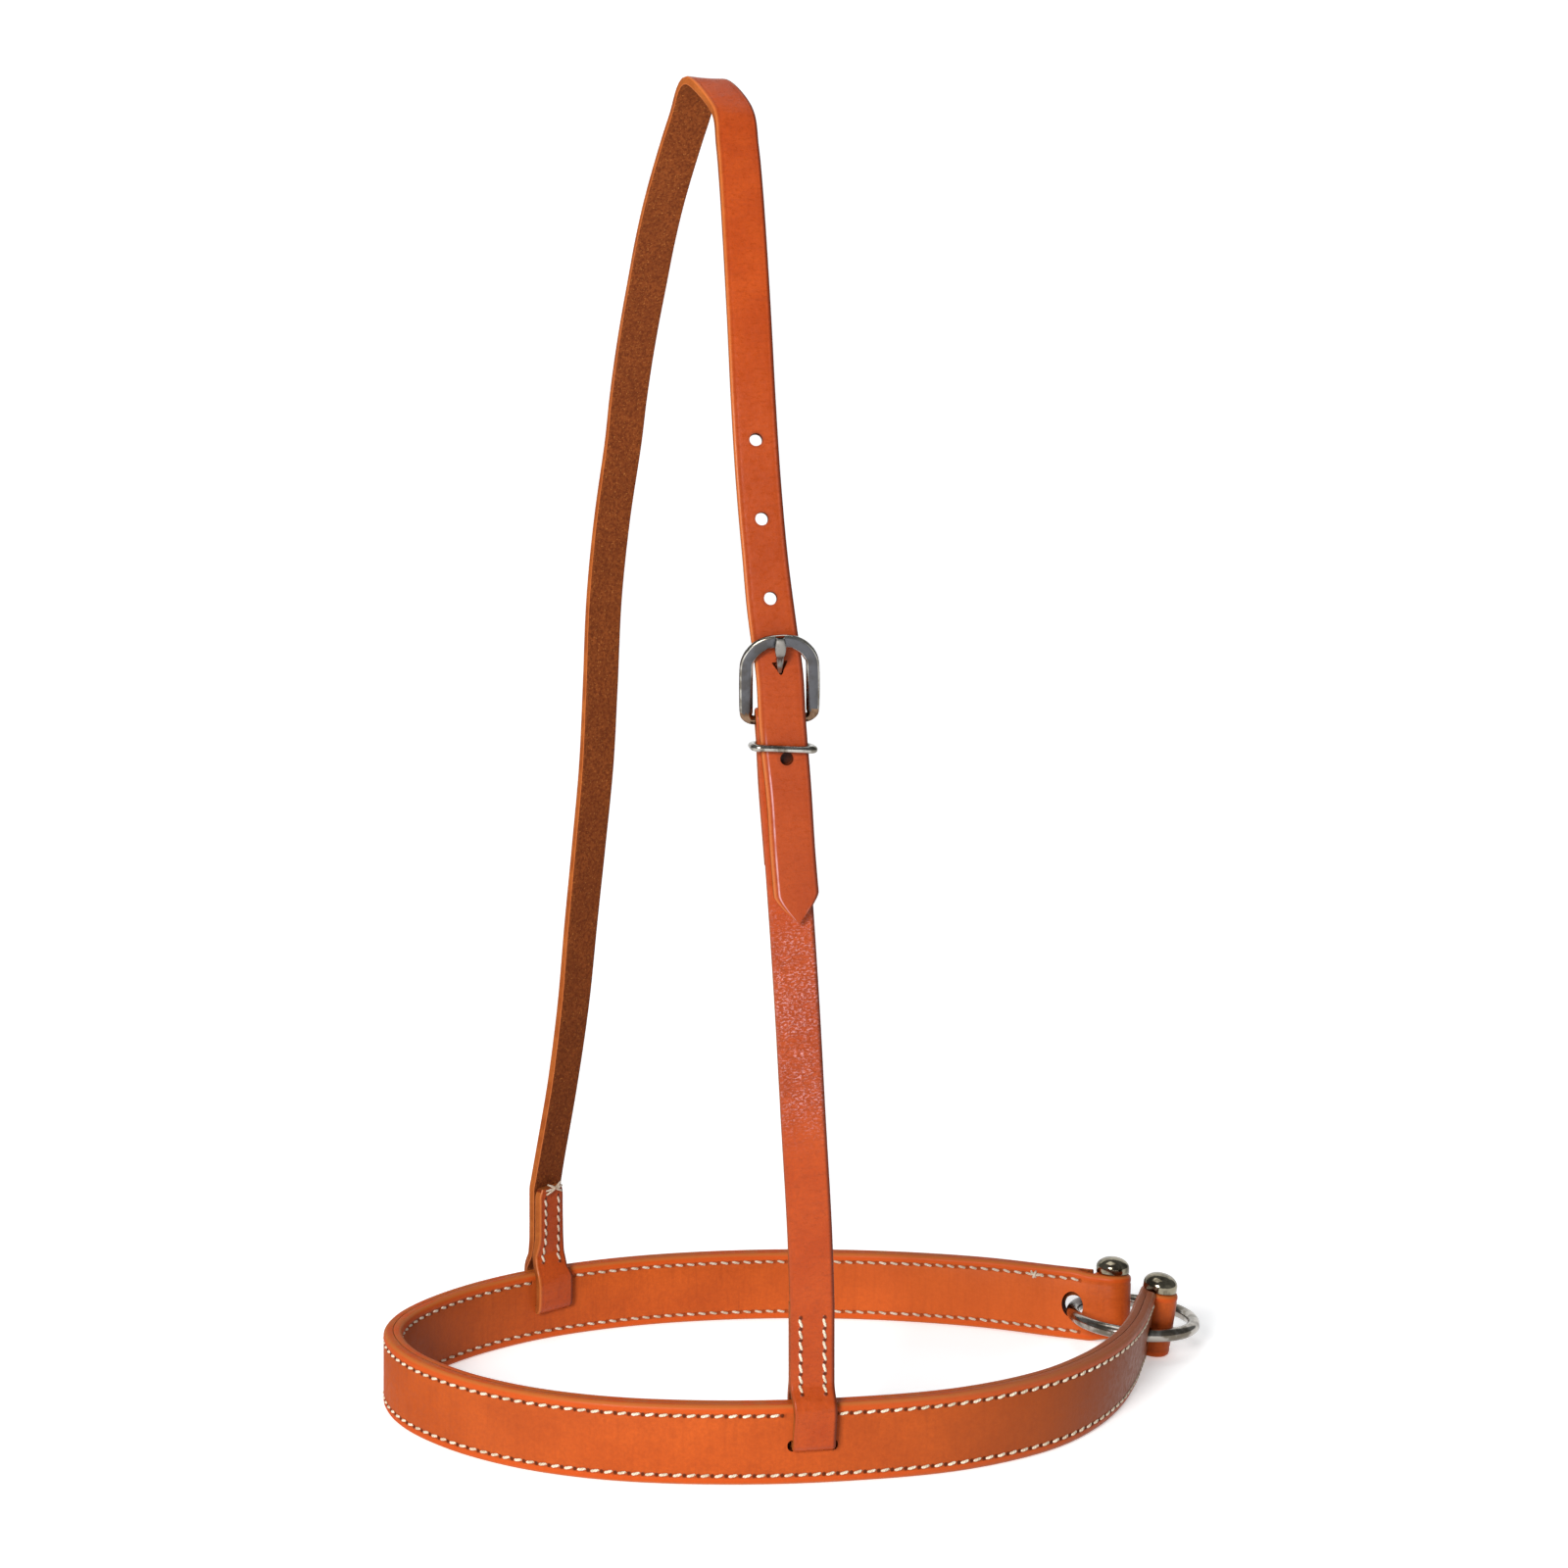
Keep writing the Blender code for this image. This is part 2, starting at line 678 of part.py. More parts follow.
for d in below:
    share = eased(d / fold_close_length)
    offset = back_far + (back_line - back_far) * share
    points.append(run.place(run.length - d) + bar_in * offset)
    thicknesses.append(skived_thickness)
cheek_material = finish("cheek_grain", strap_colour, 0.45)
levels += [bar_side] * (len(points) - len(levels))
cheek_strap = sweep("near_cheek_strap",
                    strap_rings(points, levels, [strap_width] * len(points), thicknesses),
                    cheek_material)

# Crown strap: billet tip, buckle, crown, far run, far loop
billet_line = strap_thickness + layer_gap
bar_offset = billet_side_offset * billet_offset_shares[-1]
billet_at_bar = cheek_points[-1] - bar_in * billet_line + bar_side * bar_offset
billet_points = [run.place(run.length - billet_reach * back) - bar_in * billet_line
                 + bar_side * (billet_side_offset * share)
                 for back, share in zip(billet_back_shares, billet_offset_shares)]
billet_points += [billet_at_bar + bar_up * (straight_above_bar * lift)
                  - bar_side * (billet_lean * lean)
                  for lift, lean in zip(billet_lift_shares, billet_lean_shares)]
crown_points = billet_points + [
    Vector((near_join.x + side_span * x, near_join.y + depth_span * y, hanger_height * h))
    for h, x, y in zip(crown_height_shares, crown_side_shares, crown_depth_shares)]
turn_shares = [0.0] * len(billet_points) + list(crown_turn_shares) + [1.0]
crown = Line(smooth_line(crown_points + [far_loop[-1]], crown_samples))


def crown_level(distance):
    """Heading of the strap's width, turning from the near band's to the far band's."""
    place = 0
    while place < len(crown.marks) - 2 and crown.marks[place + 1] < distance:
        place += 1
    low = min(place // crown_samples, len(turn_shares) - 2)
    share = place / crown_samples - low
    turned = turn_shares[low] + (turn_shares[low + 1] - turn_shares[low]) * share
    return near_level.lerp(far_level, turned).normalized()


points, levels, widths = [], [], []
for share in tip_ring_shares:
    points.append(crown.place(tip_taper * share))
    levels.append(crown_level(tip_taper * share))
    widths.append(tip_end_width + (strap_width - tip_end_width) * math.sin(quarter * share))
apex_at = crown.nearest(lambda p: -p.z)
stations = spaced(tip_taper, apex_at - apex_reach, strap_step)[1:]
stations += spaced(apex_at - apex_reach, apex_at + apex_reach, apex_step)[1:]
stations += spaced(apex_at + apex_reach, crown.length, strap_step)[1:-1]
for s in stations:
    points.append(crown.place(s))
    levels.append(crown_level(s))
    widths.append(strap_width)
for point, heading in zip(reversed(far_loop), reversed(far_headings)):
    points.append(point)
    levels.append(heading)
    widths.append(strap_width)
crown_material = finish("crown_grain", strap_colour, 0.45)
crown_strap = sweep("crown_strap",
                    strap_rings(points, levels, widths, [strap_thickness] * len(points)),
                    crown_material)

# Buckle frame: flat rails and a round bar in one closed loop
frame_centre_side = bar_offset / 2
bar_middle = bar_centre + bar_side * frame_centre_side
frame_tilt = math.atan2(bar_line + billet_line + strap_half + frame_thickness, frame_reach)
top_middle = (billet_at_bar + bar_up * frame_reach
              - bar_in * (strap_half + layer_gap + frame_thickness / 2
                          + frame_rail_width / 2 * math.sin(frame_tilt))
              + bar_side * (frame_centre_side - bar_offset))
frame_up = (top_middle - bar_middle).normalized()
frame_out = bar_side.cross(frame_up).normalized()
if frame_out.dot(bar_in) > 0:
    frame_out = -frame_out
frame_length = (top_middle - bar_middle).length
rail_half = (frame_outer_width - frame_rail_width) / 2
top_corner = (rail_half - frame_corner_radius, frame_length - frame_corner_radius)
foot_corner = (rail_half - frame_foot_radius, frame_foot_radius)


def rounded_corner(x, u, radius, first, steps):
    turns = [first + quarter * i / steps for i in range(steps + 1)]
    return [(x + radius * math.cos(t), u + radius * math.sin(t)) for t in turns]


outline = rounded_corner(top_corner[0], top_corner[1], frame_corner_radius, 0.0,
                         frame_corner_steps)
outline += rounded_corner(-top_corner[0], top_corner[1], frame_corner_radius, quarter,
                          frame_corner_steps)
outline += rounded_corner(-foot_corner[0], foot_corner[1], frame_foot_radius, quarter * 2,
                          frame_corner_steps)
outline += rounded_corner(foot_corner[0], foot_corner[1], frame_foot_radius, quarter * 3,
                          frame_corner_steps)
rings = []
for i, (x, u) in enumerate(outline):
    px, pu = outline[i - 1]
    nx, nu = outline[(i + 1) % len(outline)]
    run_x, run_u = nx - px, nu - pu
    size = math.hypot(run_x, run_u)
    out_x, out_u = run_u / size, -run_x / size
    share = eased(1 - u / frame_foot_radius)
    a = frame_rail_width / 2 * (1 - share) + bar_radius * share
    b = frame_thickness / 2 * (1 - share) + bar_radius * share
    c = frame_bevel * (1 - share) + bar_radius * round_bevel_share * share
    middle = bar_middle + bar_side * x + frame_up * u
    radial = bar_side * out_x + frame_up * out_u
    corners = [(-a + c, -b), (a - c, -b), (a, -b + c), (a, b - c),
               (a - c, b), (-a + c, b), (-a, b - c), (-a, -b + c)]
    rings.append([middle + radial * w + frame_out * n for w, n in corners])
sweep("buckle_frame", rings, steel, closed=True)

# Tongue: an eye round the bar and a shaft through the strap to the top rail
eye_line = bar_radius + layer_gap + tongue_eye_thickness / 2
tip_thickness = tongue_thickness * tongue_tip_share
over_rail = frame_out * (frame_thickness / 2 + layer_gap + tongue_thickness / 2)
knee = top_middle - frame_up * (frame_rail_width / 2 + tongue_thickness / 2) + over_rail
tip = top_middle + frame_up * tongue_overhang + over_rail - frame_out * (
    (tongue_thickness - tip_thickness) / 2)
reach_vector = knee - bar_middle
reach = math.hypot(reach_vector.dot(bar_up), reach_vector.dot(bar_in))
tilt = (math.atan2(-reach_vector.dot(bar_in), reach_vector.dot(bar_up))
        + math.asin(eye_line / reach))
shaft_length = math.sqrt(reach ** 2 - eye_line ** 2)
shaft_up = bar_up * math.cos(tilt) - bar_in * math.sin(tilt)
shaft_out = -(bar_in * math.cos(tilt) + bar_up * math.sin(tilt))
foot = bar_middle - shaft_out * eye_line


def tongue_ring(middle, out, thickness):
    a, b = tongue_width / 2, thickness / 2
    return [middle + bar_side * w + out * n for w, n in ((-a, -b), (a, -b), (a, b), (-a, b))]


rings = []
for i in range(tongue_eye_steps):
    t = tongue_eye_turn * (1 - i / tongue_eye_steps)
    radial = -shaft_out * math.cos(t) - shaft_up * math.sin(t)
    rings.append(tongue_ring(bar_middle + radial * eye_line, -radial, tongue_eye_thickness))
rings.append(tongue_ring(foot, shaft_out, tongue_eye_thickness))
for share in tongue_shaft_shares:
    rings.append(tongue_ring(foot + shaft_up * (shaft_length * share), shaft_out,
                             tongue_thickness))
rings.append(tongue_ring(knee, (shaft_out + frame_out).normalized(), tongue_thickness))
rings.append(tongue_ring(knee.lerp(tip, tongue_bend_share), frame_out,
                         tongue_thickness * tongue_bend_thickness_share))
rings.append(tongue_ring(tip, frame_out, tip_thickness))
sweep("buckle_tongue", rings, steel)

# Openings of the straps: tongue slot in the fold, tongue hole and adjustment holes
fold_half = bar_line + skived_thickness
corners = [(-fold_slot_width / 2, -fold_slot_below), (fold_slot_width / 2, -fold_slot_below),
           (fold_slot_width / 2, fold_half), (-fold_slot_width / 2, fold_half)]
cut(cheek_strap, sweep("fold_slot_cutter",
                       [[bar_middle + bar_in * (side * fold_half) + bar_side * w + bar_up * u
                         for w, u in corners] for side in (-1, 1)], None))



def round_cutter(name, middles, first_axis, second_axis, radius, sides):
    turns = [2 * math.pi * i / sides for i in range(sides)]
    return sweep(name, [[middle + first_axis * (radius * math.cos(t))
                         + second_axis * (radius * math.sin(t)) for t in turns]
                        for middle in middles], None)


def off_shaft(point):
    """Distance of a point from the tongue's shaft, measured square to the bar."""
    travelled = (point - foot).dot(bar_up) / shaft_up.dot(bar_up)
    return (point - foot - shaft_up * travelled).length


cut(crown_strap, round_cutter("tongue_hole_cutter",
                              [foot + shaft_up * (shaft_length * share)
                               for share in tongue_cut_shares],
                              bar_side, shaft_out, tongue_width / 2 + tongue_hole_clearance,
                              strap_hole_sides))
tongue_hole_at = crown.nearest(off_shaft)
for k in list(range(-holes_below_tongue, 0)) + list(range(1, holes_above_tongue + 1)):
    at = tongue_hole_at + strap_hole_pitch * k
    middle = crown.place(at)
    tangent = crown.heading(at, heading_reach)
    inward = tangent.cross(crown_level(at)).normalized()
    across = inward.cross(tangent).normalized()
    cut(crown_strap, round_cutter("strap_hole_cutter_%d" % (k + holes_below_tongue),
                                  [middle + inward * (side * strap_thickness)
                                   for side in (-1, 1)],
                                  across, tangent, strap_hole_radius, strap_hole_sides))

# Keeper: wire loop round the billet, the cheek strap and its turned end
stack_front = strap_half + billet_line
stack_back = back_line + skived_thickness / 2
keeper_middle = (run.place(run.length - keeper_below_bar)
                 + bar_in * ((stack_back - stack_front) / 2)
                 + bar_side * (billet_side_offset * billet_offset_shares[-2] / 2))
half_w = (strap_width + billet_side_offset) / 2 + keeper_clearance + keeper_wire / 2
half_n = (stack_front + stack_back) / 2 + keeper_clearance + keeper_wire / 2
keeper_side = bar_side * math.cos(keeper_tilt) - bar_up * math.sin(keeper_tilt)
keeper_up = bar_up * math.cos(keeper_tilt) + bar_side * math.sin(keeper_tilt)
corner_w = half_w - keeper_corner_radius
corner_n = half_n - keeper_corner_radius
rings = []
for first, w, n in ((0, corner_w, corner_n), (1, -corner_w, corner_n), (2, -corner_w, -corner_n),
                    (3, corner_w, -corner_n)):
    for i in range(keeper_corner_steps + 1):
        t = quarter * (first + i / keeper_corner_steps)
        radial = keeper_side * math.cos(t) + bar_in * math.sin(t)
        middle = keeper_middle + keeper_side * w + bar_in * n + radial * keeper_corner_radius
        rings.append([middle + radial * (keeper_wire / 2 * math.cos(u))
                      + keeper_up * (keeper_wire / 2 * math.sin(u))
                      for u in (2 * math.pi * j / keeper_sides for j in range(keeper_sides))])
sweep("keeper_loop", rings, steel, closed=True)


# Short rows: a cord that swells at each stitch, laid on a strap's face
def face_frame(line, at, reach, level, facing):
    """Along, across and outward directions on the strap face that looks toward facing."""
    tangent = line.heading(at, reach)
    inward = tangent.cross(level).normalized()
    across = inward.cross(tangent).normalized()
    return tangent, across, inward if inward.dot(facing) > 0 else -inward


def short_row(name, line, start, count, side_offset, level_at, face, facing):
    marks = []
    for i in range(count):
        for share, swell in ((0.0, stitch_end_share), (stitch_rise_share, 1.0),
                             (1 - stitch_rise_share, 1.0)):
            marks.append((start + short_stitch_pitch * (i + share), swell))
    marks.append((start + short_stitch_pitch * count, stitch_end_share))
    rings = []
    for s, swell in marks:
        tangent, across, out = face_frame(line, s, short_stitch_pitch / 4, level_at(s), facing)
        middle = line.place(s) + across * side_offset + out * (face + seat_gap)
        half = thread_width / 4 * (1 + swell)
        crest = half * thread_crest_share
        top = out * (thread_height * swell)
        rings.append([middle - across * half, middle - across * crest + top,
                      middle + across * crest + top, middle + across * half])
    sweep(name, rings, thread)


def loop_rows(label, places, twist, station):
    """Two rows on each face of a loop, ending near the band's edge."""
    middle = len(places) // 2
    first = loop_overlap - loop_row_start - short_stitch_pitch * loop_stitch_count
    for word, line, facing in (("inside", Line(places[:middle]), -station.out),
                               ("outside", Line(list(reversed(places[middle:]))), station.out)):
        for name, offset in (("left", -short_row_spacing / 2), ("right", short_row_spacing / 2)):
            short_row("%s_loop_row_%s_%s" % (label, word, name), line, first,
                      loop_stitch_count, offset,
                      lambda s: loop_frame(station, half_height + loop_overlap - s, twist)[1],
                      strap_half, facing)


loop_rows("near", near_loop, 0.0, near_station)
loop_rows("far", far_loop, far_loop_twist, far_station)

# One thread crosses the top of the far loop's turned end between its two rows
inside = Line(far_loop[:len(far_loop) // 2])
tangent, across, out = face_frame(inside, cross_thread_drop, cross_thread_drop / 2, far_level,
                                  -far_station.out)
middle = inside.place(cross_thread_drop) + out * (strap_half + seat_gap)
crest = thread_width / 2 * thread_crest_share
sweep("far_loop_cross_thread",
      [[middle + across * w - tangent * (thread_width / 2),
        middle + across * w - tangent * crest + out * thread_height,
        middle + across * w + tangent * crest + out * thread_height,
        middle + across * w + tangent * (thread_width / 2)]
       for w in (-short_row_spacing / 2, 0.0, short_row_spacing / 2)], thread)

# Two rows hold the fold's turned end
back = Line([run.place(run.length - d) + bar_in * back_line for d in
             spaced(fold_row_start - short_stitch_pitch,
                    fold_row_start + short_stitch_pitch * (fold_stitch_count + 1), strap_step)])
for name, offset in (("left", -short_row_spacing / 2), ("right", short_row_spacing / 2)):
    short_row("fold_row_" + name, back, short_stitch_pitch, fold_stitch_count, offset,
              lambda s: bar_side, skived_thickness / 2, bar_in)

# Rest the part on its lowest point with the middle of its outline at the origin
solids = [thing for thing in bpy.data.objects if not thing.hide_render]
corners = [v.co for thing in solids for v in thing.data.vertices]
low = Vector([min(c[i] for c in corners) for i in range(3)])
high = Vector([max(c[i] for c in corners) for i in range(3)])
shift_made = -Vector(((low.x + high.x) / 2, (low.y + high.y) / 2, low.z))
for thing in bpy.data.objects:
    thing.data.transform(Matrix.Translation(shift_made))
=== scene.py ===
import bisect
import math
import random

import bmesh
import bpy
from mathutils import Matrix, Vector, noise


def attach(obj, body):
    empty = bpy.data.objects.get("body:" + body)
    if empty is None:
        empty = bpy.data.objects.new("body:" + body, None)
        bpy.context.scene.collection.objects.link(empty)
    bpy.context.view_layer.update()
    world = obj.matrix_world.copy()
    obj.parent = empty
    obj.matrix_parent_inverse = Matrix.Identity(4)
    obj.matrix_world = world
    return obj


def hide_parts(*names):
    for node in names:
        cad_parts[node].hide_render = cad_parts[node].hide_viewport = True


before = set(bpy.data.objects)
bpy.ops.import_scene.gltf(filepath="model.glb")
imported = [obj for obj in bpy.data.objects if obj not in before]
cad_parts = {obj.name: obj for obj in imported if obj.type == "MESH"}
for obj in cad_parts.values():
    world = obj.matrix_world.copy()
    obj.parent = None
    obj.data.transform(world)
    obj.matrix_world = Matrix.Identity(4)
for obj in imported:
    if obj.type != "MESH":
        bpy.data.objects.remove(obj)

# Tie-down noseband: two stitched layers of russet harness leather, a hanger strap with a steel
# buckle, rolled ends on domed pins and a steel ring. Lengths are in metres.
mm = 0.001
quarter = math.radians(90)
upAxis = Vector((0, 0, 1))
rowPlace = Vector((-143.628106, -73.416188, 0.113025)) * mm   # where the noseband's plan starts
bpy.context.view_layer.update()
print("frame loaded")


# Shared bench work
def eased(value):
    value = min(max(value, 0.0), 1.0)
    return value * value * (3 - 2 * value)


def spaced(start, end, step):
    count = max(1, math.ceil((end - start) / step))
    return [start + (end - start) * i / count for i in range(count + 1)]


def smoothLine(points, samples):   # centripetal curve through the points
    ends = [points[0] * 2 - points[1]] + list(points) + [points[-1] * 2 - points[-2]]
    line = []
    for i in range(1, len(ends) - 2):
        p = ends[i - 1:i + 3]
        t = [0.0]
        for a, b in zip(p, p[1:]):
            t.append(t[-1] + math.sqrt((b - a).length))
        for j in range(samples):
            q = t[1] + (t[2] - t[1]) * j / samples
            a1 = p[0].lerp(p[1], (q - t[0]) / (t[1] - t[0]))
            a2 = p[1].lerp(p[2], (q - t[1]) / (t[2] - t[1]))
            a3 = p[2].lerp(p[3], (q - t[2]) / (t[3] - t[2]))
            b1 = a1.lerp(a2, (q - t[0]) / (t[2] - t[0]))
            b2 = a2.lerp(a3, (q - t[1]) / (t[3] - t[1]))
            line.append(b1.lerp(b2, (q - t[1]) / (t[2] - t[1])))
    line.append(points[-1].copy())
    return line


class Line:   # a fine line that is read by distance
    def __init__(self, points):
        self.points = points
        self.marks = [0.0]
        for a, b in zip(points, points[1:]):
            self.marks.append(self.marks[-1] + (b - a).length)
        self.length = self.marks[-1]

    def place(self, distance):
        low = min(max(bisect.bisect_right(self.marks, distance) - 1, 0), len(self.marks) - 2)
        span = self.marks[low + 1] - self.marks[low]
        return self.points[low].lerp(self.points[low + 1], (distance - self.marks[low]) / span)

    def heading(self, distance, reach):
        return (self.place(distance + reach) - self.place(distance - reach)).normalized()


def deselectAll():
    if bpy.context.object and bpy.context.object.mode == 'EDIT':
        bpy.ops.object.mode_set(mode='OBJECT')
    bpy.ops.object.select_all(action='DESELECT')


def takeUp(piece):   # the piece alone is selected and active
    deselectAll()
    piece.select_set(True)
    bpy.context.view_layer.objects.active = piece


def added(name):   # the primitive that was just added, with its place in its mesh
    piece = bpy.context.object
    piece.name = name
    piece.data.name = name
    bpy.ops.object.transform_apply(location=True, rotation=True, scale=True)
    return piece


def pick(piece, kind, test):   # selects verts, edges or faces of the piece in edit mode by a test
    if bpy.context.object.mode != 'EDIT':
        bpy.ops.object.mode_set(mode='EDIT')
    bpy.ops.mesh.select_mode(type={"verts": 'VERT', "edges": 'EDGE', "faces": 'FACE'}[kind])
    bpy.ops.mesh.select_all(action='DESELECT')
    work = bmesh.from_edit_mesh(piece.data)
    for thing in getattr(work, kind):
        if test(thing):
            thing.select_set(True)
    work.select_flush_mode()
    bmesh.update_edit_mesh(piece.data)


def applyAll(piece):
    takeUp(piece)
    for modifier in list(piece.modifiers):
        bpy.ops.object.modifier_apply(modifier=modifier.name)


def punch(piece, cutter):   # cuts the cutter out of the piece and puts it away
    bite = piece.modifiers.new("punch", 'BOOLEAN')
    bite.operation = 'DIFFERENCE'
    bite.solver = 'EXACT'
    bite.object = cutter
    applyAll(piece)
    bpy.data.objects.remove(cutter)


def smoothOver(piece, degrees):
    takeUp(piece)
    bpy.ops.object.shade_smooth_by_angle(angle=math.radians(degrees))


# Routes: where the leather runs
band = {
    "height": 25.4 * mm, "layer": 3.05 * mm, "gap": 0.30 * mm, "length": 266.8 * mm,
    "width": 157.5 * mm,
    "planLength": (0.975, 0.942, 0.895, 0.831, 0.722, 0.575, 0.444, 0.313, 0.216, 0.142, 0.086, 0.042,
                   0.015, 0.000, 0.005, 0.030, 0.081, 0.154, 0.237, 0.344, 0.494, 0.644, 0.791),
    "planWidth": (0.541, 0.406, 0.283, 0.177, 0.080, 0.026, 0.011, 0.029, 0.075, 0.139, 0.211, 0.290,
                  0.366, 0.450, 0.538, 0.631, 0.740, 0.840, 0.912, 0.967, 0.999, 0.989, 0.940),
    "ringAt": 0.810, "nearSlot": 0.2800, "farSlot": 0.6711, "slotBelowEdge": 12.9 * mm,
    "nearLean": math.radians(9), "farLean": math.radians(6), "leanHold": 30.0 * mm,
    "leanFade": 80.0 * mm, "edgeRound": 1.6 * mm, "trim": 1.3 * mm, "topTrim": 1.0 * mm,
    "trimRun": 8.0 * mm, "step": 1.6 * mm}
ring = {
    "wire": 4.7 * mm, "inside": 40.0 * mm, "nearBearing": math.radians(-92),
    "nearHeading": math.radians(74), "farBearing": math.radians(160),
    "farHeading": math.radians(-20), "lead": 8.0 * mm, "holeHeight": 9.6 * mm,
    "holeToPin": 13.6 * mm, "droop": math.radians(5.5)}
pinPost = {
    "radius": 3.5 * mm, "rollEnd": math.radians(200), "domeRadius": 6.2 * mm,
    "domeHeight": 5.8 * mm, "skirtShare": 0.35, "bore": 2.4 * mm, "boreDepth": 12.0 * mm,
    "shank": 2.1 * mm, "headThickness": 1.4 * mm, "slotWidth": 1.2 * mm, "slotDepth": 0.5 * mm}

halfHeight = band["height"] / 2
bandHalf = band["gap"] / 2 + band["layer"]
liningLine = -(band["gap"] + band["layer"]) / 2
rollRadius = pinPost["radius"] + band["gap"] + band["layer"] / 2
pinOffset = liningLine + rollRadius
ringLine = (ring["inside"] + ring["wire"]) / 2
ringCentre = Vector((band["length"], band["width"] * band["ringAt"], 0)) + rowPlace


def endPoints(bearing, heading):
    hole = ringCentre + Vector((math.cos(bearing), math.sin(bearing), 0)) * ringLine
    toEnd = Vector((math.cos(heading), math.sin(heading), 0))
    return [hole + toEnd * ring["holeToPin"], hole, hole - toEnd * ring["lead"]]


bodyPoints = [Vector((band["length"] * a, band["width"] * b, 0)) + rowPlace
              for a, b in zip(band["planLength"], band["planWidth"])]
plan = Line(smoothLine(endPoints(ring["nearBearing"], ring["nearHeading"]) + bodyPoints
                       + endPoints(ring["farBearing"], ring["farHeading"])[::-1], 24))
nearSlotAt = plan.length * band["nearSlot"]
farSlotAt = plan.length * band["farSlot"]


def bandAxes(distance):   # middle of the band's height, along, up and outward
    reach = 2.0 * mm
    held = min(max(distance, reach), plan.length - reach)
    along = plan.heading(held, reach)
    level = Vector((-along.y, along.x, 0))
    nearShare = 1 - eased((distance - band["leanHold"]) / band["leanFade"])
    farShare = 1 - eased((plan.length - distance - band["leanHold"]) / band["leanFade"])
    lean = band["nearLean"] * nearShare + band["farLean"] * farShare
    up = upAxis * math.cos(lean) + level * math.sin(lean)
    out = level * math.cos(lean) - upAxis * math.sin(lean)
    place = plan.place(min(max(distance, 0), plan.length)) + upAxis * halfHeight
    return place, along, up, out


def lowTrim(toPin):   # what comes off the lower edge near a pin
    return band["trim"] * (1 - eased(toPin / band["trimRun"]))


def highTrim(toPin):   # what comes off the upper edge beside a dome
    past = toPin - pinPost["domeRadius"] - band["gap"]
    return band["topTrim"] * (1 - eased(past / band["trimRun"]))


# A route is a list of stops: distance, place, along, across, outward, low trim, high trim, thickness
def stop(at, place, along, across, out, low=0.0, high=0.0, thick=1.0):
    return {"at": at, "place": place, "along": along, "across": across, "out": out,
            "low": low, "high": high, "thick": thick}


outerEnd = math.sqrt((rollRadius + band["layer"] / 2) ** 2 - (pinOffset - bandHalf) ** 2) + band["gap"]
outerRoute, liningRoute = [], []
for s in spaced(outerEnd, plan.length - outerEnd, 1.0 * mm):
    place, along, up, out = bandAxes(s)
    outerRoute.append(stop(s, place + out * -liningLine, along, up, out,
                           lowTrim(min(s, plan.length - s))))
rollArc = rollRadius * (pinPost["rollEnd"] + quarter)
for nearEnd in (True, False):
    place, along, up, out = bandAxes(0 if nearEnd else plan.length)
    away = -along if nearEnd else along
    rolled = []
    for turn in spaced(-quarter, pinPost["rollEnd"], math.radians(6)):
        radial = away * math.cos(turn) + out * math.sin(turn)
        ahead = (out * math.cos(turn) - away * math.sin(turn)) * (-1 if nearEnd else 1)
        travelled = rollRadius * (turn + quarter)
        rolled.append(stop(-travelled if nearEnd else plan.length + travelled,
                           place + out * pinOffset + radial * rollRadius, ahead, up, radial,
                           lowTrim(0), highTrim(0)))
    if nearEnd:
        liningRoute = rolled[::-1]
        for s in spaced(0, plan.length, 1.0 * mm)[1:-1]:
            place, along, up, out = bandAxes(s)
            toPin = min(s, plan.length - s)
            liningRoute.append(stop(s, place + out * liningLine, along, up, -out,
                                    lowTrim(toPin), highTrim(toPin)))
    else:
        liningRoute += rolled

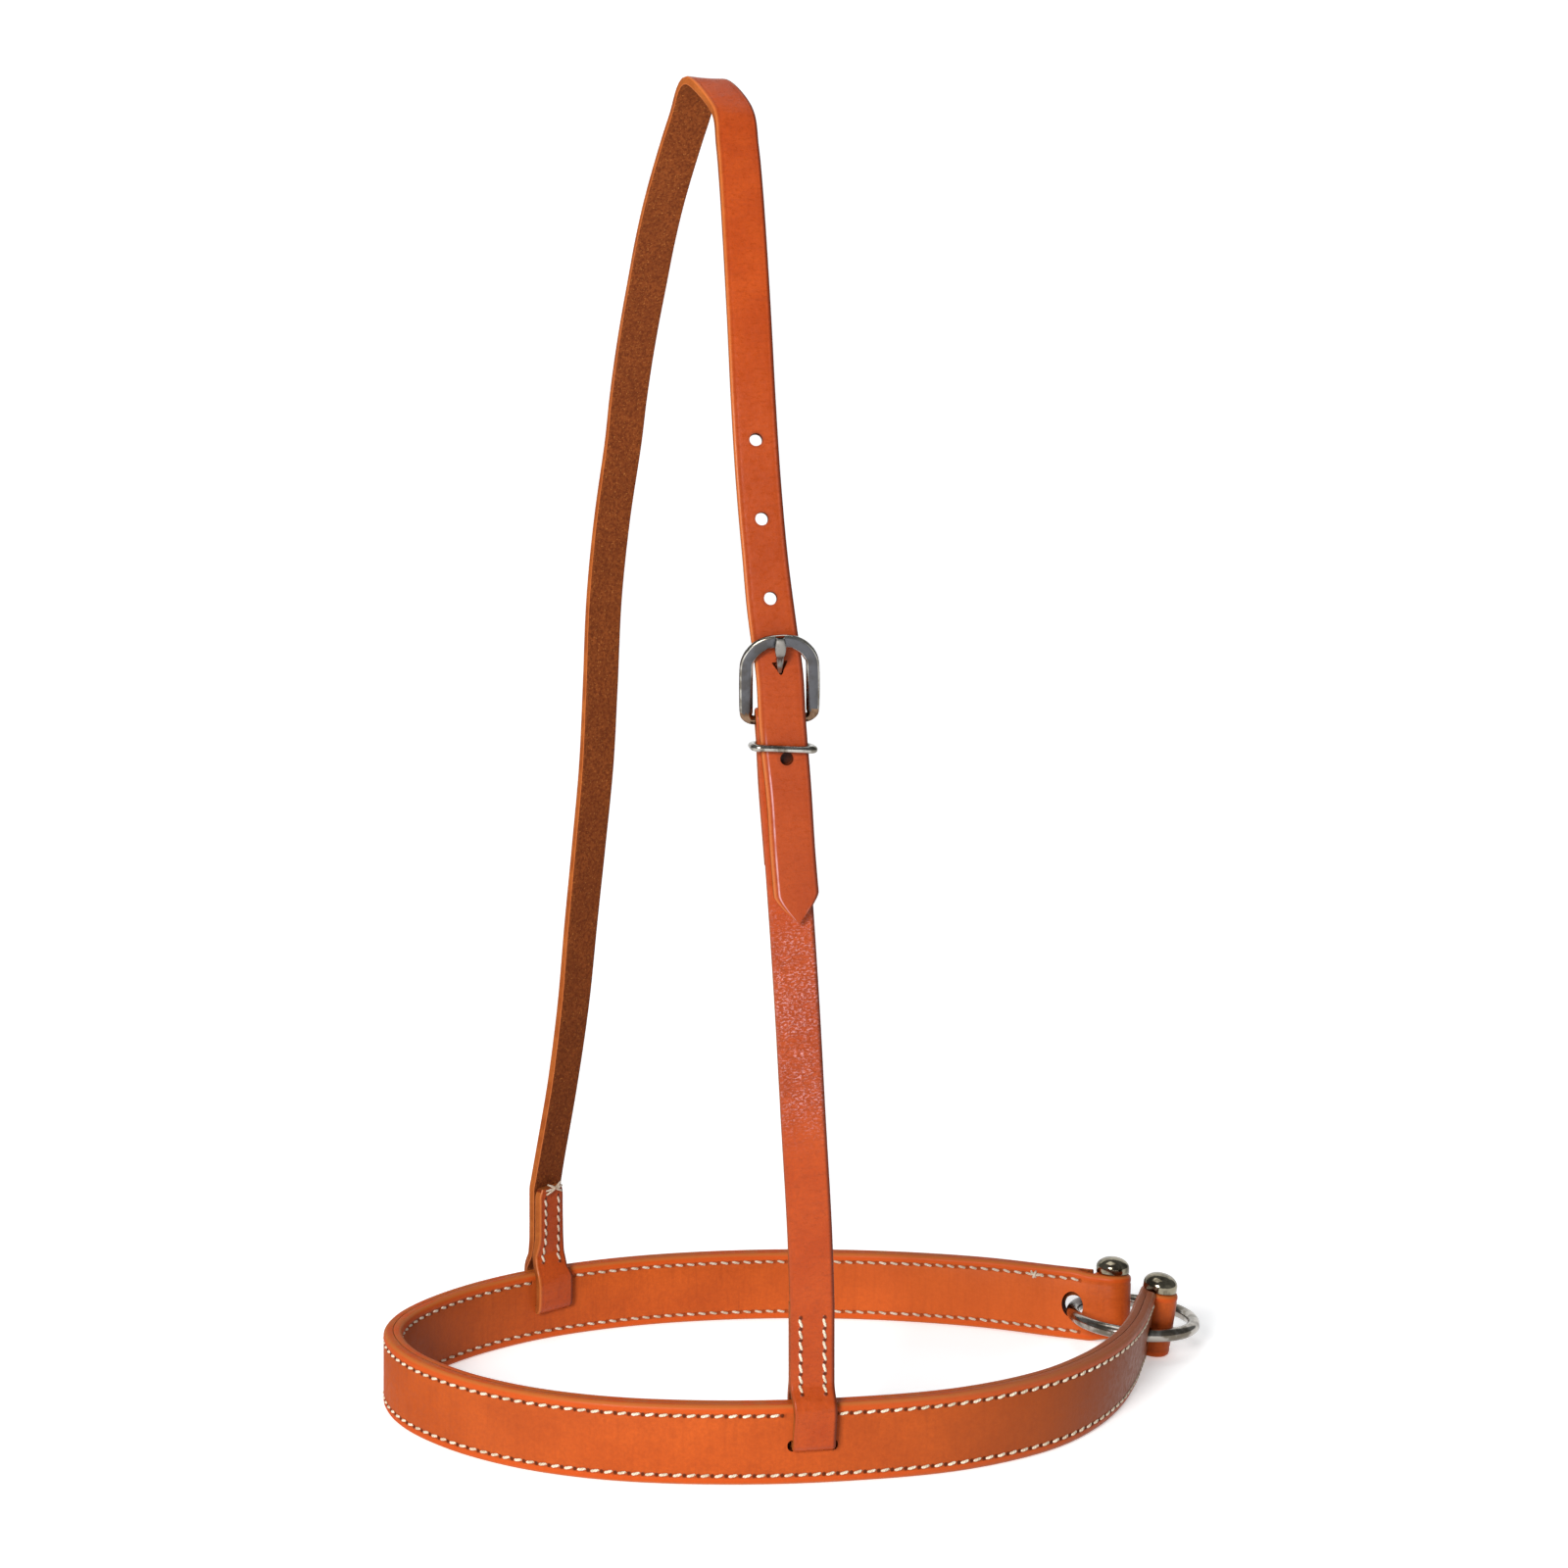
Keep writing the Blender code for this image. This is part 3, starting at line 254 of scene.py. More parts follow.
strap = {
    "width": 14.3 * mm, "thickness": 3.0 * mm, "skived": 2.2 * mm, "turnInner": 0.45 * mm,
    "closeHeight": 7.2 * mm, "closeStart": 0.8 * mm, "overlap": 31.3 * mm,
    "farTwist": math.radians(-21), "twistRun": 14.0 * mm, "height": 457.0 * mm}
cheek = {
    "up": (0.177, 0.258, 0.341, 0.435, 0.490, 0.5346),
    "side": (0.008, 0.029, 0.050, 0.079, 0.099, 0.1085),
    "bulge": (0.40, 0.70, 0.90, 1.00, 1.00, 1.00), "bulgeSize": 5.4 * mm,
    "foldLength": 46.0 * mm, "foldClose": 8.0 * mm, "slotWidth": 4.2 * mm, "slotBelow": 3.6 * mm}
crown = {
    "up": (0.646, 0.700, 0.7565, 0.8140, 0.8722, 0.9166, 0.9466, 0.9760, 1.000, 0.9760, 0.9431, 0.9162,
           0.8884, 0.8600, 0.8306, 0.8004, 0.7696, 0.7379, 0.6735, 0.6083, 0.5352, 0.4705, 0.4048,
           0.3403, 0.2753, 0.2101, 0.1460),
    "side": (0.1500, 0.1726, 0.1893, 0.2035, 0.2197, 0.2342, 0.2471, 0.2683, 0.3700, 0.4231, 0.4789,
             0.5211, 0.5573, 0.5888, 0.6217, 0.6512, 0.6765, 0.6965, 0.7429, 0.7743, 0.7898, 0.8050,
             0.8335, 0.8634, 0.8914, 0.9318, 0.9826),
    "depth": (-0.049, -0.031, 0.000, 0.058, 0.129, 0.201, 0.251, 0.298, 0.373, 0.452, 0.516, 0.580,
              0.645, 0.709, 0.780, 0.845, 0.902, 0.938, 0.974, 0.988, 0.995, 0.996, 0.996, 0.996,
              0.996, 0.996, 0.994),
    "turn": (0.00, 0.00, 0.00, 0.02, 0.06, 0.12, 0.20, 0.30, 0.38, 0.38, 0.36, 0.36, 0.36, 0.38, 0.42,
             0.46, 0.49, 0.53, 0.60, 0.66, 0.70, 0.74, 0.80, 0.86, 0.94, 1.03, 1.04),
    "billet": 64.0 * mm, "billetSide": 2.0 * mm, "billetSides": (0.95, 0.78, 0.95, 0.60),
    "straight": 29.6 * mm, "billetLean": 1.7 * mm, "billetLeans": (0.15, 1.0),
    "holePitch": 25.4 * mm, "holeRadius": 2.1 * mm}

strapHalf = strap["thickness"] / 2
loopLine = bandHalf + band["gap"] + strapHalf
joinedLine = (strap["thickness"] + band["gap"]) / 2
slotMiddle = halfHeight - band["slotBelowEdge"]


def loopSide(axes, height, twist):
    place, along, up, out = axes
    turn = twist * eased((height - halfHeight) / strap["twistRun"])
    return (out * math.cos(turn) + along * math.sin(turn),
            along * math.cos(turn) - out * math.sin(turn))


def loopRun(axes, twist):   # a strap through its slot, from the turned end to the main part
    turn = strap["turnInner"] + strapHalf
    edge = halfHeight - strap["closeStart"]
    close = halfHeight + strap["closeHeight"]
    side = [(joinedLine, h) for h in spaced(close, halfHeight + strap["overlap"], 2.0 * mm)[::-1]]
    for i in range(1, 13):
        side.append((joinedLine + (loopLine - joinedLine) * eased(i / 12), close + (edge - close) * i / 12))
    for h in spaced(slotMiddle + turn, edge, 2.0 * mm)[-2:0:-1]:
        side.append((loopLine, h))
    for i in range(11):
        t = quarter * i / 10
        side.append((loopLine - turn + turn * math.cos(t), slotMiddle + turn - turn * math.sin(t)))
    places, levels = [], []
    for n, h in [(-n, h) for n, h in side] + side[-2::-1]:
        out, level = loopSide(axes, h, twist)
        places.append(axes[0] + out * n + axes[2] * h)
        levels.append(level)
    return places, levels


def strapRoute(points, levels, thicks):
    stops, travelled = [], 0.0
    for i, point in enumerate(points):
        before = (point - points[i - 1]).normalized() if i else None
        after = (points[i + 1] - point).normalized() if i + 1 < len(points) else None
        tangent = ((before or after) + (after or before)).normalized()
        inward = tangent.cross(levels[i]).normalized()
        across = inward.cross(tangent).normalized()
        travelled += (point - points[i - 1]).length if i else 0.0
        stops.append(stop(travelled, point, tangent, across, -inward, thick=thicks[i]))
    return stops


nearAxes = bandAxes(nearSlotAt)
farAxes = bandAxes(farSlotAt)
nearLoop, nearLevels = loopRun(nearAxes, 0.0)
nearLevels = [-level for level in nearLevels]
nearLevel = nearLevels[-1]
farLoop, farLevels = loopRun(farAxes, strap["farTwist"])
farLevel = farLevels[-1]
nearJoin = nearAxes[0] + nearAxes[3] * joinedLine + nearAxes[2] * halfHeight
farJoin = farLoop[-1]
ground = rowPlace.z

# cheek strap: loop, run up to the bar, fold behind it
sideSpan = farJoin.x - nearJoin.x
depthSpan = farJoin.y - nearJoin.y
cheekPoints = [Vector((nearJoin.x + sideSpan * x, nearJoin.y - cheek["bulgeSize"] * bulge,
                       ground + strap["height"] * h))
               for h, x, bulge in zip(cheek["up"], cheek["side"], cheek["bulge"])]
run = Line(smoothLine([nearLoop[-1]] + cheekPoints, 12))
buckle = {
    "bar": 1.5 * mm, "reach": 24.3 * mm, "railWidth": 4.5 * mm, "thickness": 2.5 * mm,
    "tongueThickness": 2.0 * mm, "eye": 1.1 * mm}
barLine = buckle["bar"] + band["gap"] + strap["skived"] / 2
foldShift = strapHalf - strap["skived"] / 2
barUp = run.heading(run.length - 9.0 * mm, 2.0 * mm)
barIn = barUp.cross(nearLevel).normalized()
barSide = barIn.cross(barUp).normalized()
barCentre = run.place(run.length) - barIn * foldShift + barIn * barLine

points, thicks = list(nearLoop), [1.0] * len(nearLoop)
skivedShare = strap["skived"] / strap["thickness"]
for s in spaced(0, run.length - band["gap"], 2.0 * mm)[1:-1]:
    share = eased((s - (run.length - cheek["foldClose"])) / cheek["foldClose"])
    points.append(run.place(s) - barIn * (foldShift * share))
    thicks.append(1 + (skivedShare - 1) * share)
levels = nearLevels + [nearLevel] * (len(points) - len(nearLevels))
for i in range(17):
    t = math.pi * i / 16
    points.append(barCentre - barIn * (barLine * math.cos(t)) + barUp * (barLine * math.sin(t)))
    thicks.append(skivedShare)
foldMiddleAt = len(points) - 9
backLine = strapHalf + band["gap"] + strap["skived"] / 2
backFar = barLine * 2 - foldShift
for d in spaced(0, cheek["foldClose"], 1.0 * mm)[1:] + spaced(cheek["foldClose"], cheek["foldLength"],
                                                             2.0 * mm)[1:]:
    offset = backFar + (backLine - backFar) * eased(d / cheek["foldClose"])
    points.append(run.place(run.length - d) + barIn * offset)
    thicks.append(skivedShare)
levels += [barSide] * (len(points) - len(levels))
cheekRoute = strapRoute(points, levels, thicks)

# crown strap: billet tip, buckle, over the poll, down the far side and through its slot
billetLine = strap["thickness"] + band["gap"]
billetOffset = crown["billetSide"] * crown["billetSides"][-1]
billetAtBar = cheekPoints[-1] - barIn * billetLine + barSide * billetOffset
billetPoints = [run.place(run.length - crown["billet"] * back) - barIn * billetLine
                + barSide * (crown["billetSide"] * share)
                for back, share in zip((1, 2 / 3, 1 / 3, 0), crown["billetSides"])]
billetPoints += [billetAtBar + barUp * (crown["straight"] * up) - barSide * (crown["billetLean"] * lean)
                 for up, lean in zip((0.5, 1.0), crown["billetLeans"])]
crownPoints = billetPoints + [
    Vector((nearJoin.x + sideSpan * x, nearJoin.y + depthSpan * y, ground + strap["height"] * h))
    for h, x, y in zip(crown["up"], crown["side"], crown["depth"])]
turnShares = [0.0] * len(billetPoints) + list(crown["turn"]) + [1.0]
crownLine = Line(smoothLine(crownPoints + [farLoop[-1]], 10))


def crownLevel(distance):
    place = min(max(bisect.bisect_right(crownLine.marks, distance) - 1, 0), len(crownLine.marks) - 2)
    span = crownLine.marks[place + 1] - crownLine.marks[place]
    exact = (place + (distance - crownLine.marks[place]) / span) / 10
    low = min(int(exact), len(turnShares) - 2)
    turned = turnShares[low] + (turnShares[low + 1] - turnShares[low]) * (exact - low)
    return nearLevel.lerp(farLevel, turned).normalized()


crownStops = spaced(0, crownLine.length, 2.0 * mm)[:-1]
crownRoute = strapRoute([crownLine.place(s) for s in crownStops] + farLoop[::-1],
                        [crownLevel(s) for s in crownStops] + farLevels[::-1],
                        [1.0] * (len(crownStops) + len(farLoop)))
print("routes laid out")


def spotOn(route, distance):
    marks = [s["at"] for s in route]
    low = min(max(bisect.bisect_right(marks, distance) - 1, 0), len(marks) - 2)
    a, b = route[low], route[low + 1]
    share = (distance - a["at"]) / (b["at"] - a["at"])
    made = {key: a[key].lerp(b[key], share) for key in ("place", "along", "across", "out")}
    made.update({key: a[key] + (b[key] - a[key]) * share for key in ("low", "high", "thick")})
    return made


def layOnRoute(piece, route, halfWidth):   # bends a strap that was made flat along X
    known = {}
    for vertex in piece.data.vertices:
        x, y, z = vertex.co
        key = round(x, 6)
        if key not in known:
            known[key] = spotOn(route, x)
        s = known[key]
        share = (y + halfWidth) / (2 * halfWidth)
        y += s["low"] * (1 - share) - s["high"] * share
        vertex.co = s["place"] + s["across"] * y + s["out"] * (z * s["thick"])
    piece.data.update()


def flatStrap(name, start, end, width, thickness, grainRound, fleshRound, lines, step):
    deselectAll()
    bpy.ops.mesh.primitive_cube_add(size=1, location=((start + end) / 2, 0, 0))
    bpy.context.object.scale = (end - start, width, thickness)
    piece = added(name)
    isLong = lambda e: abs(e.verts[0].co.x - e.verts[1].co.x) > abs(
        e.verts[0].co.y - e.verts[1].co.y) + abs(e.verts[0].co.z - e.verts[1].co.z)
    pick(piece, "edges", lambda e: isLong(e) and e.verts[0].co.z > 0)
    bpy.ops.mesh.bevel(offset=grainRound, segments=5, affect='EDGES')
    pick(piece, "edges", lambda e: isLong(e) and e.verts[0].co.z < -thickness * 0.49)
    bpy.ops.mesh.bevel(offset=fleshRound, segments=2, affect='EDGES')
    for y in lines:
        pick(piece, "faces", lambda f: abs(f.normal.z) > 0.9)
        bpy.ops.mesh.bisect(plane_co=(0, y, 0), plane_no=(0, 1, 0))
    wanted = math.ceil((end - start) / step)
    first = math.ceil(math.sqrt(wanted))
    for cuts in (first - 1, math.ceil(wanted / first) - 1):
        pick(piece, "edges", isLong)
        bpy.ops.mesh.subdivide(number_cuts=cuts)
    bpy.ops.object.mode_set(mode='OBJECT')
    flat = piece.data.uv_layers[0].data   # the flat strap is its own pattern sheet
    for loop in piece.data.loops:
        co = piece.data.vertices[loop.vertex_index].co
        flat[loop.index].uv = (co.x, co.y)
    return piece


def sink(piece, y, depth, top):   # presses one long line of points into the grain or flesh face
    pick(piece, "verts", lambda v: abs(v.co.y - y) < 0.01 * mm and v.co.z * top > 0)
    bpy.ops.transform.translate(value=(0, 0, -depth * top))
    bpy.ops.object.mode_set(mode='OBJECT')


def strapSpot(route, at, y, halfWidth, rise):   # a point of a bent strap, its along and outward
    s = spotOn(route, at)
    share = (y + halfWidth) / (2 * halfWidth)
    y += s["low"] * (1 - share) - s["high"] * share
    return s["place"] + s["across"] * y + s["out"] * (rise * s["thick"]), s["along"], s["out"]


# Stage and camera
deselectAll()
bpy.ops.mesh.primitive_plane_add(size=6)
paperSweep = added("paperSweep")   # a floor that curves up into a wall behind the object
pick(paperSweep, "edges", lambda e: all(v.co.y > 2.9 for v in e.verts))
bpy.ops.mesh.extrude_region_move(TRANSFORM_OT_translate={"value": (0, 0, 3)})
pick(paperSweep, "edges", lambda e: all(v.co.y > 2.9 and abs(v.co.z) < 0.01 for v in e.verts))
bpy.ops.mesh.bevel(offset=1.6, segments=24, affect='EDGES')
bpy.ops.object.mode_set(mode='OBJECT')
smoothOver(paperSweep, 30)

shot = {"place": (-7.128 * mm, -823.916 * mm, 308.613 * mm), "lens": 54.0, "shift": -0.17}
lens = bpy.data.cameras.new("photoLens")
lens.lens = shot["lens"]
lens.sensor_width = 36.0
lens.shift_y = shot["shift"]
camera = bpy.data.objects.new("photoCamera", lens)
camera.location = shot["place"]
camera.rotation_euler = (quarter, 0, 0)
bpy.context.scene.collection.objects.link(camera)
bpy.context.scene.camera = camera

studio = {
    "room": (0.92, 0.96, 1.0, 1), "roomStrength": 0.20, "paper": (0.86, 0.86, 0.86, 1),
    "nearGlow": 0.42, "farGlow": 0.62, "glowFrom": 0.0, "glowTo": 1.2, "aim": (0, 0, 0.15),
    "softboxes": (("keySoftbox", (-0.62, -1.45, 0.75), 0.60, 36.0),
                  ("fillSoftbox", (1.3, -0.8, 0.7), 0.9, 0.3),
                  ("topSoftbox", (-0.1, 0.15, 1.5), 0.9, 4.0))}
world = bpy.data.worlds.new("paleRoom")
world.use_nodes = True
world.node_tree.nodes["Background"].inputs["Color"].default_value = studio["room"]
world.node_tree.nodes["Background"].inputs["Strength"].default_value = studio["roomStrength"]
bpy.context.scene.world = world
bpy.context.scene.view_settings.view_transform = 'Standard'
for name, place, size, power in studio["softboxes"]:
    lamp = bpy.data.lights.new(name, 'AREA')
    lamp.size = size
    lamp.energy = power
    box = bpy.data.objects.new(name, lamp)
    box.location = place
    box.rotation_euler = (Vector(studio["aim"]) - Vector(place)).to_track_quat('-Z', 'Y').to_euler()
    bpy.context.scene.collection.objects.link(box)
print("camera and lights set")


class Finish:   # a node material, built up to its shader
    def __init__(self, name, **shader):
        self.material = bpy.data.materials.new(name)
        self.material.use_nodes = True
        self.tree = self.material.node_tree
        self.shader = self.tree.nodes["Principled BSDF"]
        for socket, value in shader.items():
            self.shader.inputs[socket.replace("_", " ")].default_value = value

    def add(self, kind, feeds=(), **settings):
        node = self.tree.nodes.new(kind)
        for key, value in settings.items():
            setattr(node, key, value)
        for place, value in dict(feeds).items():
            self.feed(node.inputs[place], value)
        return node

    def feed(self, socket, value):
        if isinstance(value, bpy.types.NodeSocket):
            self.tree.links.new(value, socket)
        else:
            socket.default_value = value

    def sum(self, kind, *values):
        return self.add('ShaderNodeMath', dict(enumerate(values)), operation=kind).outputs[0]

    def ease(self, value, low, high, first=0.0, last=1.0):
        return self.add('ShaderNodeMapRange', {0: value, 1: low, 2: high, 3: first, 4: last},
                        interpolation_type='SMOOTHSTEP').outputs[0]

    def cloud(self, place, scale, detail=2.0, roughness=0.5):
        return self.add('ShaderNodeTexNoise', {"Vector": place, "Scale": scale, "Detail": detail,
                                               "Roughness": roughness}).outputs[0]

    def stretch(self, place, sizes):
        return self.add('ShaderNodeVectorMath', {0: place, 1: sizes}, operation='MULTIPLY').outputs[0]

    def blend(self, share, first, second):
        return self.add('ShaderNodeMix', {0: share, 6: first, 7: second}, data_type='RGBA').outputs[2]

    def flatSheet(self):   # the strap's own pattern sheet, and its u and v in metres
        sheet = self.add('ShaderNodeUVMap', uv_map="UVMap").outputs[0]
        parts = self.add('ShaderNodeSeparateXYZ', {0: sheet})
        return sheet, parts.outputs[0], parts.outputs[1]

    def solid(self):
        return self.add('ShaderNodeTexCoord').outputs["Object"]

    def close(self, colour, roughness, height, depth, strength=1.0):
        self.feed(self.shader.inputs["Base Color"], colour)
        self.feed(self.shader.inputs["Roughness"], roughness)
        bump = self.add('ShaderNodeBump', {"Strength": strength, "Distance": depth, "Height": height})
        self.feed(self.shader.inputs["Normal"], bump.outputs[0])
        return self.material


paper = Finish("whitePaper", Roughness=0.9, Base_Color=studio["paper"], Emission_Color=(1, 1, 1, 1))
back = paper.add('ShaderNodeSeparateXYZ', {0: paper.solid()}).outputs[1]   # the wall glows, as if lit
paper.feed(paper.shader.inputs["Emission Strength"],
           paper.ease(back, studio["glowFrom"], studio["glowTo"], studio["nearGlow"], studio["farGlow"]))
paperSweep.data.materials.append(paper.material)


sewing = {"inset": 3.2 * mm, "pitch": 4.4 * mm, "pastHole": 4.6 * mm, "groove": 0.18 * mm,
          "grooveHalf": 0.75 * mm, "slotRoom": 1.2 * mm, "hole": 0.62 * mm}
rowHeight = halfHeight - sewing["inset"]
rowStart = ring["holeToPin"] - sewing["pastHole"]
stitchCount = int((plan.length - 2 * rowStart) / sewing["pitch"])
rowPhase = (plan.length - stitchCount * sewing["pitch"]) / 2
slotClear = strap["width"] / 2 + sewing["slotRoom"]

stitch = {"length": 3.3 * mm, "radius": 0.46 * mm, "sunk": 0.55 * mm, "flat": 0.8,
          "bandSlant": math.radians(13), "loopLength": 3.3 * mm, "loopSlant": math.radians(19),
          "rowRoom": 1.5 * mm, "loopPitch": 3.6 * mm, "loopCount": 7, "loopStart": 2.6 * mm, "rowSpacing": 7.7 * mm,
          "foldStart": 15.0 * mm, "wander": math.radians(3), "crossDrop": 0.4 * mm, "crossLength": 8.2 * mm, "crossRise": 0.75 * mm}
rowReach = stitch["loopPitch"] * stitch["loopCount"]
fromTop = strap["overlap"] - stitch["loopStart"] - rowReach


def lengthOf(points):
    return sum((b - a).length for a, b in zip(points, points[1:]))


nearLoopEnd = lengthOf(nearLoop)
farLoopStart = crownRoute[-1]["at"] - lengthOf(farLoop)
foldRowAt = cheekRoute[foldMiddleAt + 8]["at"] + stitch["foldStart"]
tongueHoleAt = 77.353 * mm
holeAbove = (nearLoopEnd + run.length - crown["billet"] + tongueHoleAt - crown["holePitch"],
             crown["billetSide"] * 0.85)   # on the cheek strap, behind the billet's lowest hole, where painted shade goes

tan = {
    "deep": (0.40, 0.066, 0.010, 1), "bright": (0.48, 0.084, 0.012, 1), "aged": (0.19, 0.046, 0.012, 1), "red": (0.50, 0.068, 0.008, 1),
    "edge": (0.41, 0.112, 0.024, 1), "agedEdge": (0.24, 0.080, 0.040, 1), "lit": (0.60, 0.115, 0.022, 1),
    "shade": (0.085, 0.014, 0.005, 1), "glint": (0.66, 0.37, 0.38, 1), "rim": (0.24, 0.040, 0.010, 1), "groove": (0.20, 0.032, 0.008, 1), "hole": (0.030, 0.008, 0.003, 1),
    "flesh": (0.22, 0.054, 0.012, 1), "fleshDark": (0.11, 0.024, 0.006, 1),
    "fleshSpeck": (0.42, 0.15, 0.035, 1), "cut": (0.35, 0.100, 0.022, 1), "cutDark": (0.23, 0.052, 0.011, 1)}


def pricked(finish, u, v, first, last, pitch, row, hole):   # painted shade in the awl holes
    across = finish.sum('SUBTRACT', finish.sum('ABSOLUTE', v), row)
    cell = finish.sum('DIVIDE', finish.sum('SUBTRACT', u, first), pitch)
    part = finish.sum('SUBTRACT', finish.sum('FRACT', finish.sum('ADD', cell, 0.5)), 0.5)
    aside = finish.sum('MULTIPLY', part, pitch)
    apart = finish.sum('SQRT', finish.sum('ADD', finish.sum('MULTIPLY', aside, aside),
                                          finish.sum('MULTIPLY', across, across)))
    middle, reach = (first + last) / 2, (last - first) / 2
    inRow = finish.ease(finish.sum('ABSOLUTE', finish.sum('SUBTRACT', u, middle)), reach + 0.6 * mm,
                        reach + 1.0 * mm, 1.0, 0.0)
    return finish.sum('MULTIPLY', finish.ease(apart, hole * 0.5, hole * 1.4, 1.0, 0.0), inRow)


def nearEndShade(finish, u):   # painted shade: darker towards the near end, up to its roll
    return finish.sum('MULTIPLY', finish.ease(u, 15 * mm, 215 * mm, 1.0, 0.0), finish.ease(u, -6 * mm, 4 * mm))


def bandFinish(name, deep, bright, streaks, pricks, nose):   # grain side with its sewn rows
    finish = Finish(name, Specular_IOR_Level=0.08)
    sheet, u, v = finish.flatSheet()
    away = finish.sum('ABSOLUTE', v)
    fromRow = finish.sum('ABSOLUTE', finish.sum('SUBTRACT', away, rowHeight))
    fromNose = finish.sum('ABSOLUTE', finish.sum('SUBTRACT', u, plan.length / 2))
    sewn = finish.ease(fromNose, plan.length / 2 - rowPhase, plan.length / 2 - rowPhase + 1.0 * mm, 1.0, 0.0)
    for at in (nearSlotAt, farSlotAt):
        clear = finish.ease(finish.sum('ABSOLUTE', finish.sum('SUBTRACT', u, at)), slotClear - 0.5 * mm,
                            slotClear, 0.0, 1.0)
        sewn = finish.sum('MULTIPLY', sewn, finish.sum('MAXIMUM', clear, finish.ease(v, -mm, mm, 1.0, 0.0)))
    spot = finish.sum('MULTIPLY', sewn, pricked(finish, u, v, rowPhase, plan.length - rowPhase,
                                                sewing["pitch"], rowHeight, sewing["hole"]))
    groove = finish.sum('MULTIPLY', finish.ease(fromRow, 0.35 * mm, 1.0 * mm, 1.0, 0.0), sewn)
    tone = finish.cloud(sheet, 38.0, 3.0, 0.6)
    fine = finish.cloud(finish.stretch(sheet, (900.0, 900.0, 1.0)), 1.0, 3.0, 0.65)
    streak = finish.cloud(finish.stretch(sheet, (620.0, 45.0, 1.0)), 1.0, 3.0, 0.6)
    handled = finish.cloud(finish.stretch(sheet, (420.0, 420.0, 1.0)), 1.0, 3.0, 0.6)
    colour = finish.blend(finish.ease(tone, 0.3, 0.7), deep, bright)
    colour = finish.blend(finish.ease(streak, 0.45, 0.75, 0.0, streaks), colour, tan["groove"])
    colour = finish.blend(finish.ease(fine, 0.35, 0.7, 0.20, 0.0), colour, tan["groove"])
    colour = finish.blend(finish.ease(handled, 0.3, 0.6, 0.16, 0.0), colour, tan["groove"])
    lit = finish.sum('MULTIPLY', finish.ease(u, plan.length - 150 * mm, plan.length - 50 * mm, 0.0, 0.38),
                     finish.ease(u, plan.length - 14 * mm, plan.length - 3 * mm, 1.0, 0.0))
    colour = finish.blend(lit, colour, tan["lit"])
    nearEndShadeMask = nearEndShade(finish, u)
    # painted shade round the nose and at the near end
    wornAndShaded = finish.sum('MAXIMUM', finish.ease(fromNose, 25 * mm, nose[1], nose[0], 0.0), nearEndShadeMask)
    colour = finish.blend(wornAndShaded, colour, tan["aged"])
    colour = finish.blend(finish.ease(away, rowHeight + 0.4 * mm, rowHeight + 1.2 * mm, 0.0, 0.65), colour,
                          tan["red"])
    colour = finish.blend(finish.ease(away, halfHeight - 1.35 * mm, halfHeight - 0.35 * mm, 0.0, 0.85),
                          colour, tan["edge"])
    # painted shade on the rims at the near end
    shadeToneRim = finish.sum('MULTIPLY', nearEndShadeMask, finish.ease(away, rowHeight + 0.4 * mm, halfHeight - 0.6 * mm, 0.0, 0.9))
    colour = finish.blend(shadeToneRim, colour, tan["agedEdge"])
    colour = finish.blend(finish.sum('MULTIPLY', groove, 0.35), colour, tan["groove"])
    # painted shade in the awl holes
    colour = finish.blend(finish.sum('MULTIPLY', spot, pricks), colour, tan["hole"])
    height = finish.sum('ADD', finish.sum('MULTIPLY', fine, 0.55), finish.sum('MULTIPLY', streak, 0.9 * streaks))
    height = finish.sum('SUBTRACT', height, finish.sum('MULTIPLY', spot, 2.5))
    rough = finish.sum('ADD', finish.ease(handled, 0.3, 0.7, 0.30, 0.48), finish.sum('MULTIPLY', groove, 0.2))
    rough = finish.sum('ADD', rough, finish.ease(fromNose, 10 * mm, 60 * mm, 0.35, 0.0))
    return finish.close(colour, rough, height, 0.12 * mm)


